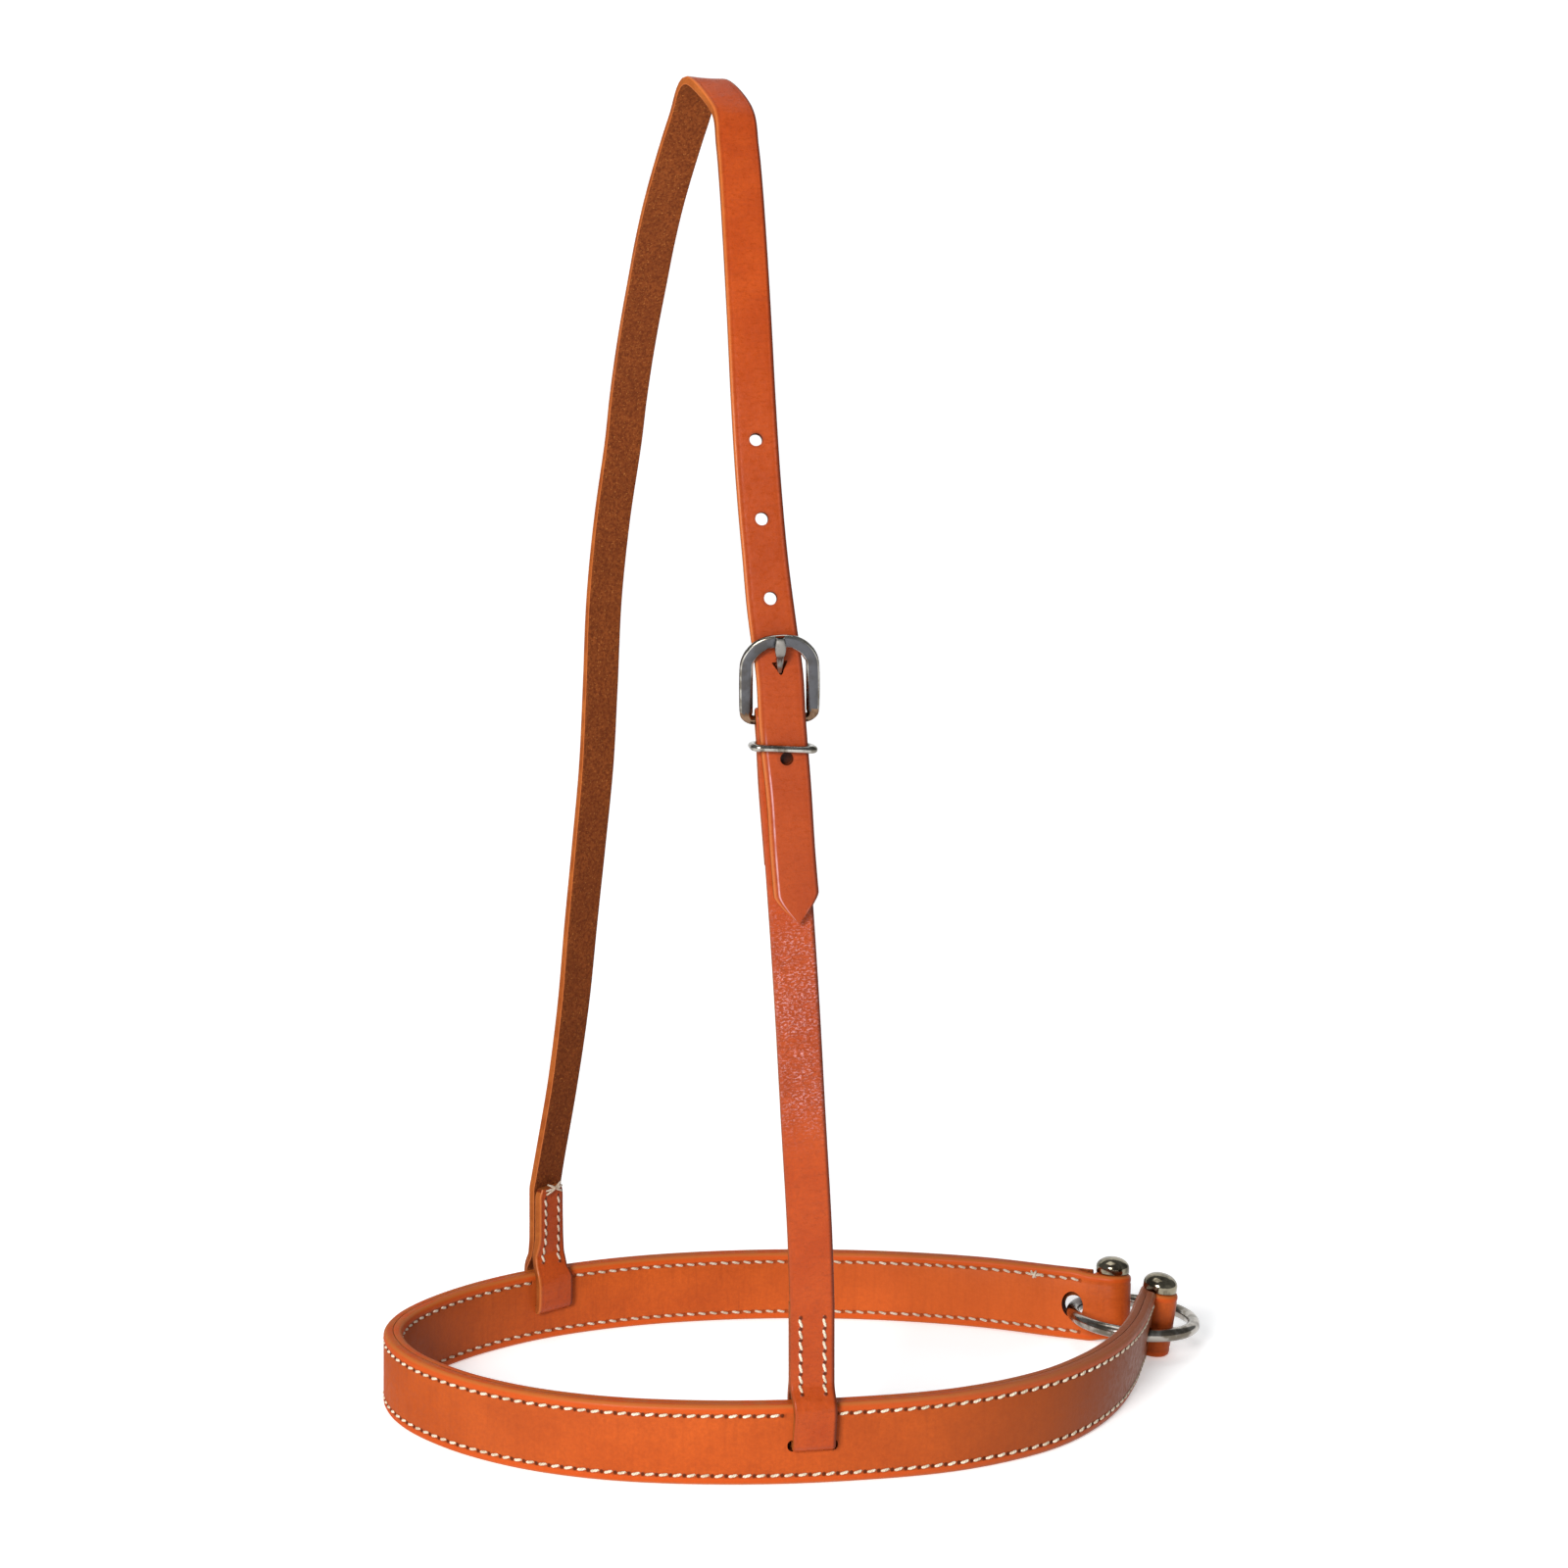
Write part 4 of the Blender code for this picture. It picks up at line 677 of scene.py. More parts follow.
def strapFinish(name, wrinkled, holed, rows):   # grain side of a hanger strap
    finish = Finish(name, Specular_IOR_Level=0.17)
    sheet, u, v = finish.flatSheet()
    away = finish.sum('ABSOLUTE', v)
    half = strap["width"] / 2
    tone = finish.cloud(sheet, 55.0, 3.0, 0.6)
    fine = finish.cloud(finish.stretch(sheet, (1000.0, 1000.0, 1.0)), 1.0, 3.0, 0.65)
    streak = finish.cloud(finish.stretch(sheet, (700.0, 70.0, 1.0)), 1.0, 3.0, 0.6)
    colour = finish.blend(finish.ease(tone, 0.34, 0.66), (0.35, 0.046, 0.006, 1), (0.41, 0.060, 0.008, 1))
    handled = finish.cloud(finish.stretch(sheet, (650.0, 380.0, 1.0)), 1.0, 3.0, 0.65)
    colour = finish.blend(finish.ease(streak, 0.48, 0.75, 0.0, 0.22), colour, tan["groove"])
    colour = finish.blend(finish.ease(fine, 0.35, 0.7, 0.24, 0.0), colour, tan["groove"])
    colour = finish.blend(finish.ease(handled, 0.3, 0.6, 0.22, 0.0), colour, tan["groove"])
    if holed:   # the billet and the lowest holes are handled most
        colour = finish.blend(finish.ease(u, 110 * mm, 235 * mm, 0.44, 0.0), colour, tan["groove"])
    height = finish.sum('ADD', finish.sum('MULTIPLY', fine, 0.55), finish.sum('MULTIPLY', streak, 0.4))
    height = finish.sum('ADD', height, finish.sum('MULTIPLY', handled, 0.8))
    if wrinkled:   # creases of a bent strap, strongest over its lower half, darkened as painted shade, with flecks of painted highlight
        cells = finish.add('ShaderNodeTexVoronoi', {"Vector": finish.stretch(sheet, (560.0, 260.0, 1.0)),
                                                    "Scale": 1.0}, feature='DISTANCE_TO_EDGE').outputs[0]
        low, high = wrinkled
        mask = finish.sum('MULTIPLY', finish.ease(u, low, low + 25 * mm),
                          finish.ease(u, high - 30 * mm, high, 1.0, 0.0))
        crease = finish.sum('MULTIPLY', finish.ease(cells, 0.0, 0.16, 1.0, 0.0), mask)
        # painted shade in the creases
        colour = finish.blend(finish.sum('MULTIPLY', crease, 0.30), colour, tan["groove"])
        height = finish.sum('SUBTRACT', height, finish.sum('MULTIPLY', crease, 1.1))
        fleck = finish.cloud(finish.stretch(sheet, (1700.0, 850.0, 1.0)), 1.0, 2.0, 0.8)
        patch = finish.cloud(finish.stretch(sheet, (160.0, 120.0, 1.0)), 1.0, 2.0, 0.5)
        shine = finish.sum('MULTIPLY', finish.ease(fleck, 0.50, 0.66), finish.ease(patch, 0.34, 0.60, 0.15, 0.50))
        colour = finish.blend(finish.sum('MULTIPLY', mask, 0.30), colour, tan["groove"])
        # painted highlight flecks over the creases
        colour = finish.blend(finish.sum('MULTIPLY', shine, mask), colour, tan["glint"])
        under = finish.sum('SQRT', finish.sum('ADD', finish.sum('POWER', finish.sum('SUBTRACT', u, holeAbove[0]), 2.0),
                                              finish.sum('POWER', finish.sum('SUBTRACT', v, holeAbove[1]), 2.0)))
        colour = finish.blend(finish.ease(under, 1.6 * mm, 3.0 * mm, 0.92, 0.0), colour, tan["hole"])   # painted shade seen through the billet's lowest hole
    if holed:   # worn leather round the adjustment holes
        cell = finish.sum('DIVIDE', finish.sum('SUBTRACT', u, tongueHoleAt), crown["holePitch"])
        part = finish.sum('SUBTRACT', finish.sum('FRACT', finish.sum('ADD', cell, 0.5)), 0.5)
        aside = finish.sum('MULTIPLY', part, crown["holePitch"])
        apart = finish.sum('SQRT', finish.sum('ADD', finish.sum('MULTIPLY', aside, aside),
                                              finish.sum('MULTIPLY', v, v)))
        used = finish.ease(finish.sum('ABSOLUTE', finish.sum('SUBTRACT', u, tongueHoleAt + crown["holePitch"])),
                           crown["holePitch"] * 2.4, crown["holePitch"] * 2.5, 1.0, 0.0)
        used = finish.sum('MULTIPLY', used, finish.ease(finish.sum('ABSOLUTE', finish.sum('SUBTRACT', u, tongueHoleAt)),
                                                        8 * mm, 10 * mm))
        wornAndShaded = finish.sum('MULTIPLY', finish.ease(apart, crown["holeRadius"] + 0.1 * mm,
                                                  crown["holeRadius"] + 1.0 * mm, 0.6, 0.0), used)
        colour = finish.blend(wornAndShaded, colour, tan["groove"])
        crease = finish.ease(finish.sum('ABSOLUTE', finish.sum('SUBTRACT', away, half - 1.6 * mm)),
                             0.1 * mm, 0.4 * mm, 0.09, 0.0)
        colour = finish.blend(crease, colour, tan["groove"])
        # painted light: the left edge is lighter than the right
        colour = finish.blend(finish.ease(v, -half + 0.3 * mm, -half + 1.2 * mm, 0.8, 0.0), colour, tan["edge"])
        line = finish.ease(finish.sum('ABSOLUTE', finish.sum('ADD', v, half - 1.7 * mm)), 0.1 * mm, 0.4 * mm, 0.55, 0.0)
        patch = finish.cloud(finish.stretch(sheet, (150.0, 150.0, 1.0)), 1.0, 2.0, 0.5)
        line = finish.sum('MULTIPLY', finish.sum('MULTIPLY', line, finish.ease(patch, 0.3, 0.6, 0.3, 1.0)),
                          finish.ease(u, 46 * mm, 66 * mm, 1.0, 0.0))
        colour = finish.blend(line, colour, tan["glint"])   # painted highlight along the billet's left edge
    else:
        colour = finish.blend(finish.ease(v, -half + 0.3 * mm, -half + 1.3 * mm, 0.45, 0.0), colour, tan["rim"])
    colour = finish.blend(finish.ease(v, half - 1.5 * mm, half - 0.5 * mm, 0.0, 0.85), colour, tan["shade"])
    for first in rows:
        spot = pricked(finish, u, v, first, first + rowReach, stitch["loopPitch"], stitch["rowSpacing"] / 2,
                       sewing["hole"])
        # painted shade in the awl holes
        colour = finish.blend(finish.sum('MULTIPLY', spot, 0.8), colour, tan["hole"])
        height = finish.sum('SUBTRACT', height, finish.sum('MULTIPLY', spot, 2.0))
    rough = finish.ease(handled, 0.3, 0.7, 0.24, 0.44)
    return finish.close(colour, rough, height, 0.12 * mm)


def fleshFinish():   # the napped back of the leather
    finish = Finish("strapFlesh", Specular_IOR_Level=0.08)
    place = finish.solid()
    nap = finish.cloud(place, 900.0, 4.0, 0.7)
    specks = finish.cloud(place, 1500.0, 2.0, 0.6)
    tone = finish.cloud(place, 70.0, 3.0, 0.6)
    colour = finish.blend(finish.ease(nap, 0.36, 0.64), tan["fleshDark"], tan["flesh"])
    colour = finish.blend(finish.ease(tone, 0.3, 0.7, 0.0, 0.35), colour, tan["fleshDark"])
    colour = finish.blend(finish.ease(specks, 0.60, 0.74, 0.0, 0.75), colour, tan["fleshSpeck"])
    return finish.close(colour, 0.9, nap, 0.35 * mm)


def cutFinish(name, light, dark, rough, shadedEnd=False):   # the cut or burnished side of the leather
    finish = Finish(name, Specular_IOR_Level=0.02)
    sheet, u, v = finish.flatSheet()
    place = finish.solid()
    fibre = finish.cloud(place, 1300.0, 3.0, 0.7)
    tone = finish.cloud(finish.stretch(sheet, (110.0, 110.0, 1.0)), 1.0, 3.0, 0.6)
    colour = finish.blend(finish.ease(tone, 0.3, 0.7), dark, light)
    colour = finish.blend(finish.ease(fibre, 0.4, 0.66, 0.4, 0.0), colour, dark)
    if shadedEnd:
        # painted shade on the edges at the near end
        colour = finish.blend(finish.sum('MULTIPLY', nearEndShade(finish, u), 0.95), colour, tan["agedEdge"])
    return finish.close(colour, rough, fibre, 0.2 * mm)


def threadFinish(name, clean, soiled):   # waxed linen: two plies that turn round each other
    finish = Finish(name, Specular_IOR_Level=0.3)
    sheet, u, v = finish.flatSheet()
    place = finish.solid()
    turn = finish.sum('SINE', finish.sum('ADD', finish.sum('MULTIPLY', u, 12.566),
                                         finish.sum('MULTIPLY', v, 38.0)))
    dirt = finish.cloud(place, 260.0, 3.0, 0.6)
    colour = finish.blend(finish.ease(dirt, 0.35, 0.7), clean, soiled)
    # painted shade in the groove between the plies
    colour = finish.blend(finish.ease(turn, -1.0, -0.2, 0.5, 0.0), colour, (0.36, 0.26, 0.15, 1))
    return finish.close(colour, 0.6, turn, 0.08 * mm)


def steelFinish(name, colour, tarnish, low, high, brushed, spotShadeAt=()):   # the last argument: place, radius and colour of spots of painted shade
    finish = Finish(name, Metallic=1.0)
    place = finish.solid()
    stain = finish.cloud(place, 170.0, 3.0, 0.6)
    scratch = finish.cloud(finish.stretch(place, (2600.0, 2600.0, 240.0)), 1.0, 2.0, 0.6)
    tone = finish.blend(finish.ease(stain, 0.42, 0.62, 0.0, 0.8), colour, tarnish)
    for spot, radius, spotShade in spotShadeAt:   # painted shade where the steel runs into the leather; on the tongue it also paints a brown reflection of the leather
        apart = finish.add('ShaderNodeVectorMath', {0: place, 1: spot}, operation='DISTANCE').outputs["Value"]
        tone = finish.blend(finish.ease(apart, radius, radius + 1.5 * mm, 0.95, 0.0), tone, spotShade)
    rough = finish.sum('ADD', finish.ease(stain, 0.3, 0.7, low, high), finish.sum('MULTIPLY', scratch, 0.08))
    return finish.close(tone, rough, scratch, brushed)


bandGrain = bandFinish("bandGrain", tan["deep"], tan["bright"], 0.16, 0.80, (0.22, 100 * mm))
liningGrain = bandFinish("liningGrain", tan["deep"], tan["bright"], 0.24, 0.28, (0.52, 150 * mm))
cheekGrain = strapFinish("cheekGrain", (145 * mm, 238 * mm), False,
                         (fromTop, nearLoopEnd - fromTop - rowReach, foldRowAt))
crownGrain = strapFinish("crownGrain", None, True,
                         (crownRoute[-1]["at"] - fromTop - rowReach, farLoopStart + fromTop))
# painted shade on the walls of holes, slots and the tongue's dent
holeWall = cutFinish("holeWall", tan["groove"], tan["hole"], 0.7)
strapFlesh = fleshFinish()
cutEdge = cutFinish("cutEdge", tan["cut"], tan["cutDark"], 0.62)
burnishedEdge = cutFinish("burnishedEdge", tan["edge"], tan["red"], 0.45, True)
waxedThread = threadFinish("waxedThread", (0.78, 0.70, 0.55, 1), (0.52, 0.42, 0.29, 1))
insideThread = threadFinish("insideThread", (0.62, 0.52, 0.42, 1), (0.44, 0.32, 0.22, 1))   # soiled on the nose
polishedSteel = steelFinish("polishedSteel", (0.44, 0.42, 0.38, 1), (0.10, 0.08, 0.05, 1), 0.08, 0.2, 0.004 * mm)
nearRun, farRun = bandAxes(ring["holeToPin"]), bandAxes(plan.length - ring["holeToPin"])
# painted shade on the wire inside the band's two holes
ringSteel = steelFinish("ringSteel", (0.40, 0.37, 0.33, 1), (0.10, 0.08, 0.05, 1), 0.08, 0.2, 0.004 * mm,
                        ((nearRun[0], 3.2 * mm, tan["hole"]), (farRun[0] + farRun[3] * (3 * mm), 4.8 * mm, tan["hole"])))
tongueRun = spotOn(crownRoute, tongueHoleAt + 1.0 * mm)["place"]
# painted brown shade and leather reflection where the tongue goes into the billet
tongueSteel = steelFinish("tongueSteel", (0.24, 0.225, 0.205, 1), (0.07, 0.06, 0.05, 1), 0.10, 0.2, 0.004 * mm,
                          ((tongueRun, 2.9 * mm, (0.16, 0.055, 0.03, 1)),))
brushedSteel = steelFinish("brushedSteel", (0.105, 0.105, 0.113, 1), (0.075, 0.070, 0.068, 1), 0.24, 0.34, 0.010 * mm)
darkSide = cutFinish("darkSide", (0.050, 0.034, 0.030, 1), (0.028, 0.018, 0.016, 1), 0.8)   # painted shade for the buckle frame's sides
# painted reflection of the brown leather, for the buckle frame's feet
warmSteel = steelFinish("warmSteel", (0.23, 0.145, 0.090, 1), (0.07, 0.035, 0.02, 1), 0.08, 0.2, 0.004 * mm)
domeSteel = steelFinish("domeSteel", (0.30, 0.265, 0.19, 1), (0.045, 0.035, 0.018, 1), 0.05, 0.14, 0.004 * mm)
print("finishes mixed")


def dress(piece, *materials):
    if piece.data.materials:
        piece.data.materials.clear()
    for material in materials:
        piece.data.materials.append(material)


def finished(piece, body, slot, *nodes):
    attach(piece, body)
    if nodes:
        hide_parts(*nodes)


def markSides(piece, halfWidth):   # flat state: grain 0, flesh 1, cut sides and ends 2, hole walls 3
    length = max(v.co.x for v in piece.data.vertices)
    start = min(v.co.x for v in piece.data.vertices)
    for polygon in piece.data.polygons:
        n, c = polygon.normal, polygon.center
        if n.z < -0.6:
            polygon.material_index = 1
        elif abs(n.z) > 0.3:
            polygon.material_index = 0
        elif abs(c.y) < halfWidth * 0.9 and start + 10 * mm < c.x < length - 0.1 * mm:
            polygon.material_index = 3
        else:
            polygon.material_index = 2


def punchSlot(piece, place, size, corner, segments):   # a slot with rounded ends
    deselectAll()
    bpy.ops.mesh.primitive_cube_add(size=1, location=place)
    bpy.context.object.scale = size
    cutter = added("slotCutter")
    pick(cutter, "edges", lambda e: abs(e.verts[0].co.z - e.verts[1].co.z) > size[2] / 4)
    bpy.ops.mesh.bevel(offset=corner, segments=segments, affect='EDGES')
    bpy.ops.object.mode_set(mode='OBJECT')
    punch(piece, cutter)


# Noseband: two sewn layers, the lining rolled back round the pins
sewnLayer = band["layer"] + band["gap"] / 2   # each layer takes half of the gap between them
layerRoom, fleshCorner = 0.02 * mm, 0.06 * mm
grooveLines = []
for side in (-1, 1):
    grooveLines += [side * (rowHeight - sewing["grooveHalf"]), side * rowHeight,
                    side * (rowHeight + sewing["grooveHalf"])]


def layer(name, start, end, hole):
    thickness = sewnLayer - layerRoom
    piece = flatStrap(name, start, end, band["height"], thickness, band["edgeRound"], fleshCorner,
                      grooveLines, band["step"])
    for side in (-1, 1):
        sink(piece, side * rowHeight, sewing["groove"], 1)
    for at in (nearSlotAt, farSlotAt):   # slots for the hanger
        half = strap["width"] / 2 + hole["slotSide"]
        tall = strap["thickness"] / 2 + band["gap"]
        punchSlot(piece, (at, slotMiddle, 0), (half * 2, tall * 2, thickness * 4), tall * 0.95, 5)
    for at in (ring["holeToPin"], plan.length - ring["holeToPin"]):   # oval holes for the ring
        deselectAll()
        bpy.ops.mesh.primitive_cylinder_add(vertices=32, radius=0.5, depth=thickness * 4,
                                            location=(at, hole["middle"], 0))
        bpy.context.object.scale = (hole["width"], hole["height"], 1)
        punch(piece, added("holeCutter"))
    markSides(piece, halfHeight)
    return piece


outerHole = {"width": 8.2 * mm, "height": 7.8 * mm, "middle": -1.1 * mm, "slotSide": 0.9 * mm}
liningHole = {"width": 8.2 * mm, "height": 9.6 * mm, "middle": 0.0, "slotSide": -0.2 * mm}
outer = layer("outerLayer", outerEnd, plan.length - outerEnd, outerHole)
layOnRoute(outer, outerRoute, halfHeight)
dress(outer, bandGrain, strapFlesh, burnishedEdge, holeWall)
smoothOver(outer, 40)
finished(outer, "noseband_and_hanger", "outer_grain", "noseband_outer_strap")

lining = layer("liningLayer", -rollArc, plan.length + rollArc, liningHole)
layOnRoute(lining, liningRoute, halfHeight)
dress(lining, liningGrain, strapFlesh, burnishedEdge, holeWall)
smoothOver(lining, 40)
finished(lining, "noseband_and_hanger", "lining_grain", "noseband_lining_strap")
print("noseband layers bent to shape")


# Hanger straps
def hangerStrap(name, route, creased):
    half = strap["width"] / 2
    lines = spaced(-half + 3.0 * mm, half - 3.0 * mm, 1.5 * mm)
    for side in (-1, 1):
        lines += [side * (half - d) for d in (1.3 * mm, 1.6 * mm, 1.9 * mm)]
    piece = flatStrap(name, 0.0, route[-1]["at"], strap["width"], strap["thickness"], 0.7 * mm,
                      0.35 * mm, lines, 1.0 * mm)
    if creased:
        for side in (-1, 1):
            sink(piece, side * (half - 1.6 * mm), 0.06 * mm, 1)
    return piece


def waist(piece, marks):   # narrows a flat strap between marks of (distance, left share, right share)
    half = strap["width"] / 2
    for vertex in piece.data.vertices:
        x, y = vertex.co.x, vertex.co.y
        for a, b in zip(marks, marks[1:]):
            if a[0] <= x <= b[0]:
                share = eased((x - a[0]) / (b[0] - a[0]))
                low = a[1] + (b[1] - a[1]) * share
                high = a[2] + (b[2] - a[2]) * share
                centre = half * (high - low) / 2
                vertex.co.y = centre + y * (high + low) / 2


def standOff(piece, marks):   # turns the section about its right rear corner by marks of (distance, degrees)
    corner = Vector((strap["width"] / 2, -strap["thickness"] / 2))
    for vertex in piece.data.vertices:
        x = vertex.co.x
        for (a, first), (b, last) in zip(marks, marks[1:]):
            if a <= x <= b:
                turn = math.radians(first + (last - first) * eased((x - a) / (b - a)))
                y, z = vertex.co.y - corner.x, vertex.co.z - corner.y
                vertex.co.y = corner.x + y * math.cos(turn) + z * math.sin(turn)
                vertex.co.z = corner.y + z * math.cos(turn) - y * math.sin(turn)
                break


def rumple(piece, low, high, depth):   # small dents of handling in the grain face
    for vertex in piece.data.vertices:
        x, y, z = vertex.co
        if z > 0 and low < x < high and abs(y) < strap["width"] / 2 - 0.5 * mm:
            mask = eased((x - low) / (20 * mm)) * eased((high - x) / (20 * mm))
            lump = noise.noise(Vector((x / (2.6 * mm), y / (5.0 * mm), 0.0)))
            vertex.co.z += depth * mask * lump


cheekStrap = hangerStrap("cheekStrap", cheekRoute, False)
nearTurnAt = nearLoopEnd / 2
nearWaist = ((nearTurnAt - 6 * mm, 1, 1), (nearTurnAt - mm, 0.93, 0.92),
             (nearTurnAt + 2 * mm, 0.93, 0.94), (nearTurnAt + 5 * mm, 0.92, 1.0),
             (nearTurnAt + 15 * mm, 0.90, 1.03), (nearTurnAt + 24 * mm, 1, 1))
nearStandOff = ((nearTurnAt, 0), (nearTurnAt + 7 * mm, 2), (nearTurnAt + 15 * mm, 6),
                (nearTurnAt + 23 * mm, 0))
waist(cheekStrap, nearWaist)
rumple(cheekStrap, 140 * mm, 245 * mm, 0.16 * mm)
slotReach = barLine * math.pi / 2 + cheek["slotBelow"]
punchSlot(cheekStrap, (cheekRoute[foldMiddleAt]["at"], 0, 0),   # the tongue's slot in the fold
          (slotReach * 2, cheek["slotWidth"], strap["thickness"] * 3), cheek["slotWidth"] * 0.45, 4)
markSides(cheekStrap, strap["width"] / 2)
standOff(cheekStrap, nearStandOff)
layOnRoute(cheekStrap, cheekRoute, strap["width"] / 2)
dress(cheekStrap, cheekGrain, strapFlesh, cutEdge, holeWall)
smoothOver(cheekStrap, 40)
finished(cheekStrap, "noseband_and_hanger", "cheek_grain", "near_cheek_strap")

tip = {"taper": 9.0 * mm, "width": 0.8 * mm, "fullness": 1.35}
dent = {"slitLength": 16.0 * mm, "slitWidth": 2.0 * mm, "slitHeight": 2.5 * mm, "slitTilt": math.radians(35),
        "slitUp": 1.2 * mm, "radius": 3.1 * mm, "floor": 1.7 * mm, "up": 3.9 * mm, "round": 0.4 * mm,
        "depth": 1.5 * mm}
crownStrap = hangerStrap("crownStrap", crownRoute, True)
farTurnAt = farLoopStart + lengthOf(farLoop) / 2
crownEnd = crownRoute[-1]["at"]
farTurned = crownEnd - strap["overlap"] - 2.0 * mm
crownWaist = ((34 * mm, 1, 1), (60 * mm, 1.09, 1), (96 * mm, 1.09, 1), (120 * mm, 1, 1),
              (farTurnAt - 6 * mm, 1, 1), (farTurnAt - mm, 0.93, 0.90), (farTurnAt + 2 * mm, 0.94, 0.92),
              (farTurnAt + 5 * mm, 0.97, 1.0), (farTurned - 1.0 * mm, 1.0, 1),
              (farTurned + 3.5 * mm, 1.0, 0.76), (crownEnd - 3 * mm, 0.98, 0.70), (crownEnd + mm, 0.80, 0.58))
farStandOff = ((farTurnAt - mm, 0), (farTurnAt + 3 * mm, 4), (farTurned - 3 * mm, 6),
               (farTurned + 4 * mm, 0), (crownEnd + mm, 0))
waist(crownStrap, crownWaist)
rumple(crownStrap, 150 * mm, 300 * mm, 0.08 * mm)
for vertex in crownStrap.data.vertices:   # the billet's pointed tip
    if vertex.co.x < tip["taper"]:
        share = vertex.co.x / tip["taper"]
        wide = tip["width"] + (strap["width"] - tip["width"]) * (1 - (1 - share) ** tip["fullness"])
        vertex.co.y *= wide / strap["width"]
for k in (-1, 1, 2, 3):
    deselectAll()
    bpy.ops.mesh.primitive_cylinder_add(vertices=24, radius=crown["holeRadius"], depth=strap["thickness"] * 3,
                                        location=(tongueHoleAt + crown["holePitch"] * k, 0, 0))
    punch(crownStrap, added("holePunch"))
deselectAll()
bpy.ops.mesh.primitive_cylinder_add(   # oval slit that the tongue fills
    vertices=20, radius=0.5, depth=dent["slitLength"], location=(tongueHoleAt + dent["slitUp"], 0, 0),
    rotation=(0, quarter - dent["slitTilt"], 0))
bpy.context.object.scale = (dent["slitHeight"], dent["slitWidth"], 1)
punch(crownStrap, added("tongueSlit"))
deselectAll()
bpy.ops.mesh.primitive_cone_add(   # the leather that the tongue has pressed in, pointed at its foot
    vertices=3, radius1=dent["floor"], radius2=dent["radius"], depth=dent["depth"], rotation=(0, 0, quarter),
    location=(tongueHoleAt + dent["up"], 0, strapHalf - dent["depth"] / 2 + 0.02 * mm))
press = added("tonguePress")
pick(press, "edges", lambda e: abs(e.verts[0].co.z - e.verts[1].co.z) > mm)
bpy.ops.mesh.bevel(offset=dent["round"], segments=3, affect='EDGES')
bpy.ops.object.mode_set(mode='OBJECT')
punch(crownStrap, press)
markSides(crownStrap, strap["width"] / 2)
for polygon in crownStrap.data.polygons:   # the dent's sloping sides take the hole-wall colours: painted shade
    x, y, z = polygon.center - Vector((tongueHoleAt + dent["up"], 0, 0))
    if math.hypot(x, y) < dent["radius"] and z < strapHalf - 0.05 * mm and 0 < polygon.normal.z < 0.95:
        polygon.material_index = 3
standOff(crownStrap, farStandOff)
layOnRoute(crownStrap, crownRoute, strap["width"] / 2)
dress(crownStrap, crownGrain, strapFlesh, cutEdge, holeWall)
smoothOver(crownStrap, 40)
finished(crownStrap, "noseband_and_hanger", "crown_grain", "crown_strap")
print("hanger straps bent to shape")


# Stitches: one is modelled and copied along every row
handSewn = random.Random(11)
threadRise = {"band": 0.12 * mm, "loop": 0.05 * mm, "knot": 0.25 * mm}   # its middle over the leather


def oneStitch(name, length):
    deselectAll()
    bpy.ops.mesh.primitive_cylinder_add(vertices=8, radius=stitch["radius"], depth=length,
                                        rotation=(0, quarter, 0))
    piece = added(name)
    pick(piece, "edges", lambda e: abs(e.verts[0].co.x - e.verts[1].co.x) > length / 2)
    bpy.ops.mesh.subdivide(number_cuts=4)
    for reach, drop in ((0.25, 0.25), (0.45, 0.75)):   # both ends dive into their holes
        pick(piece, "verts", lambda v: abs(v.co.x) > length * reach)
        bpy.ops.transform.translate(value=(0, 0, -stitch["sunk"] * drop))
    bpy.ops.transform.resize(value=(1, 0.7, 0.8))   # and are pulled thinner there
    bpy.ops.object.mode_set(mode='OBJECT')
    smoothOver(piece, 60)
    return piece


bandStitch = oneStitch("bandStitch", stitch["length"])
loopStitch = oneStitch("loopStitch", stitch["loopLength"])


def sew(name, shape, spots, slant, thread, *nodes):   # a row from spots of (place, along, outward)
    copies = []
    for place, along, out in spots:
        turn = slant + handSewn.uniform(-1, 1) * stitch["wander"]
        across = out.cross(along).normalized()
        ahead = along * math.cos(turn) + across * math.sin(turn)
        frameOfOne = Matrix((ahead, out.cross(ahead), out)).transposed().to_4x4()
        frameOfOne.translation = place
        mesh = shape.data.copy()
        mesh.transform(frameOfOne)
        copy = bpy.data.objects.new(name, mesh)
        bpy.context.scene.collection.objects.link(copy)
        copies.append(copy)
    deselectAll()
    for copy in copies:
        copy.select_set(True)
    bpy.context.view_layer.objects.active = copies[0]
    bpy.ops.object.join()
    row = copies[0]
    row.name = row.data.name = name
    dress(row, thread)
    finished(row, "noseband_and_hanger", "thread", *nodes)


def bandRow(name, node, route, height, start, end, slant):
    face = sewnLayer / 2 - sewing["groove"] + threadRise["band"]
    holes = [rowPhase + sewing["pitch"] * k for k in range(stitchCount + 1)]
    spots = [strapSpot(route, at + sewing["pitch"] / 2, height, halfHeight, face) for at in holes
             if at > start - stitch["rowRoom"] and at + sewing["pitch"] < end + stitch["rowRoom"]]
    sew(name, bandStitch, spots, slant, insideThread if route is liningRoute else waxedThread, node)


bandEnd = plan.length - rowStart
bandRows = (("lowerRow_", "lower_row_", -rowHeight, rowStart, bandEnd),
            ("upperRowNear_", "upper_row_near_", rowHeight, rowStart, nearSlotAt - slotClear),
            ("upperRowNose_", "upper_row_nose_", rowHeight, nearSlotAt + slotClear, farSlotAt - slotClear),
            ("upperRowFar_", "upper_row_far_", rowHeight, farSlotAt + slotClear, bandEnd))
for word, route, turned in (("outside", outerRoute, 1), ("inside", liningRoute, -1)):
    for name, node, height, first, last in bandRows:
        bandRow(name + word, node + word, route, height, first, last, stitch["bandSlant"] * turned)


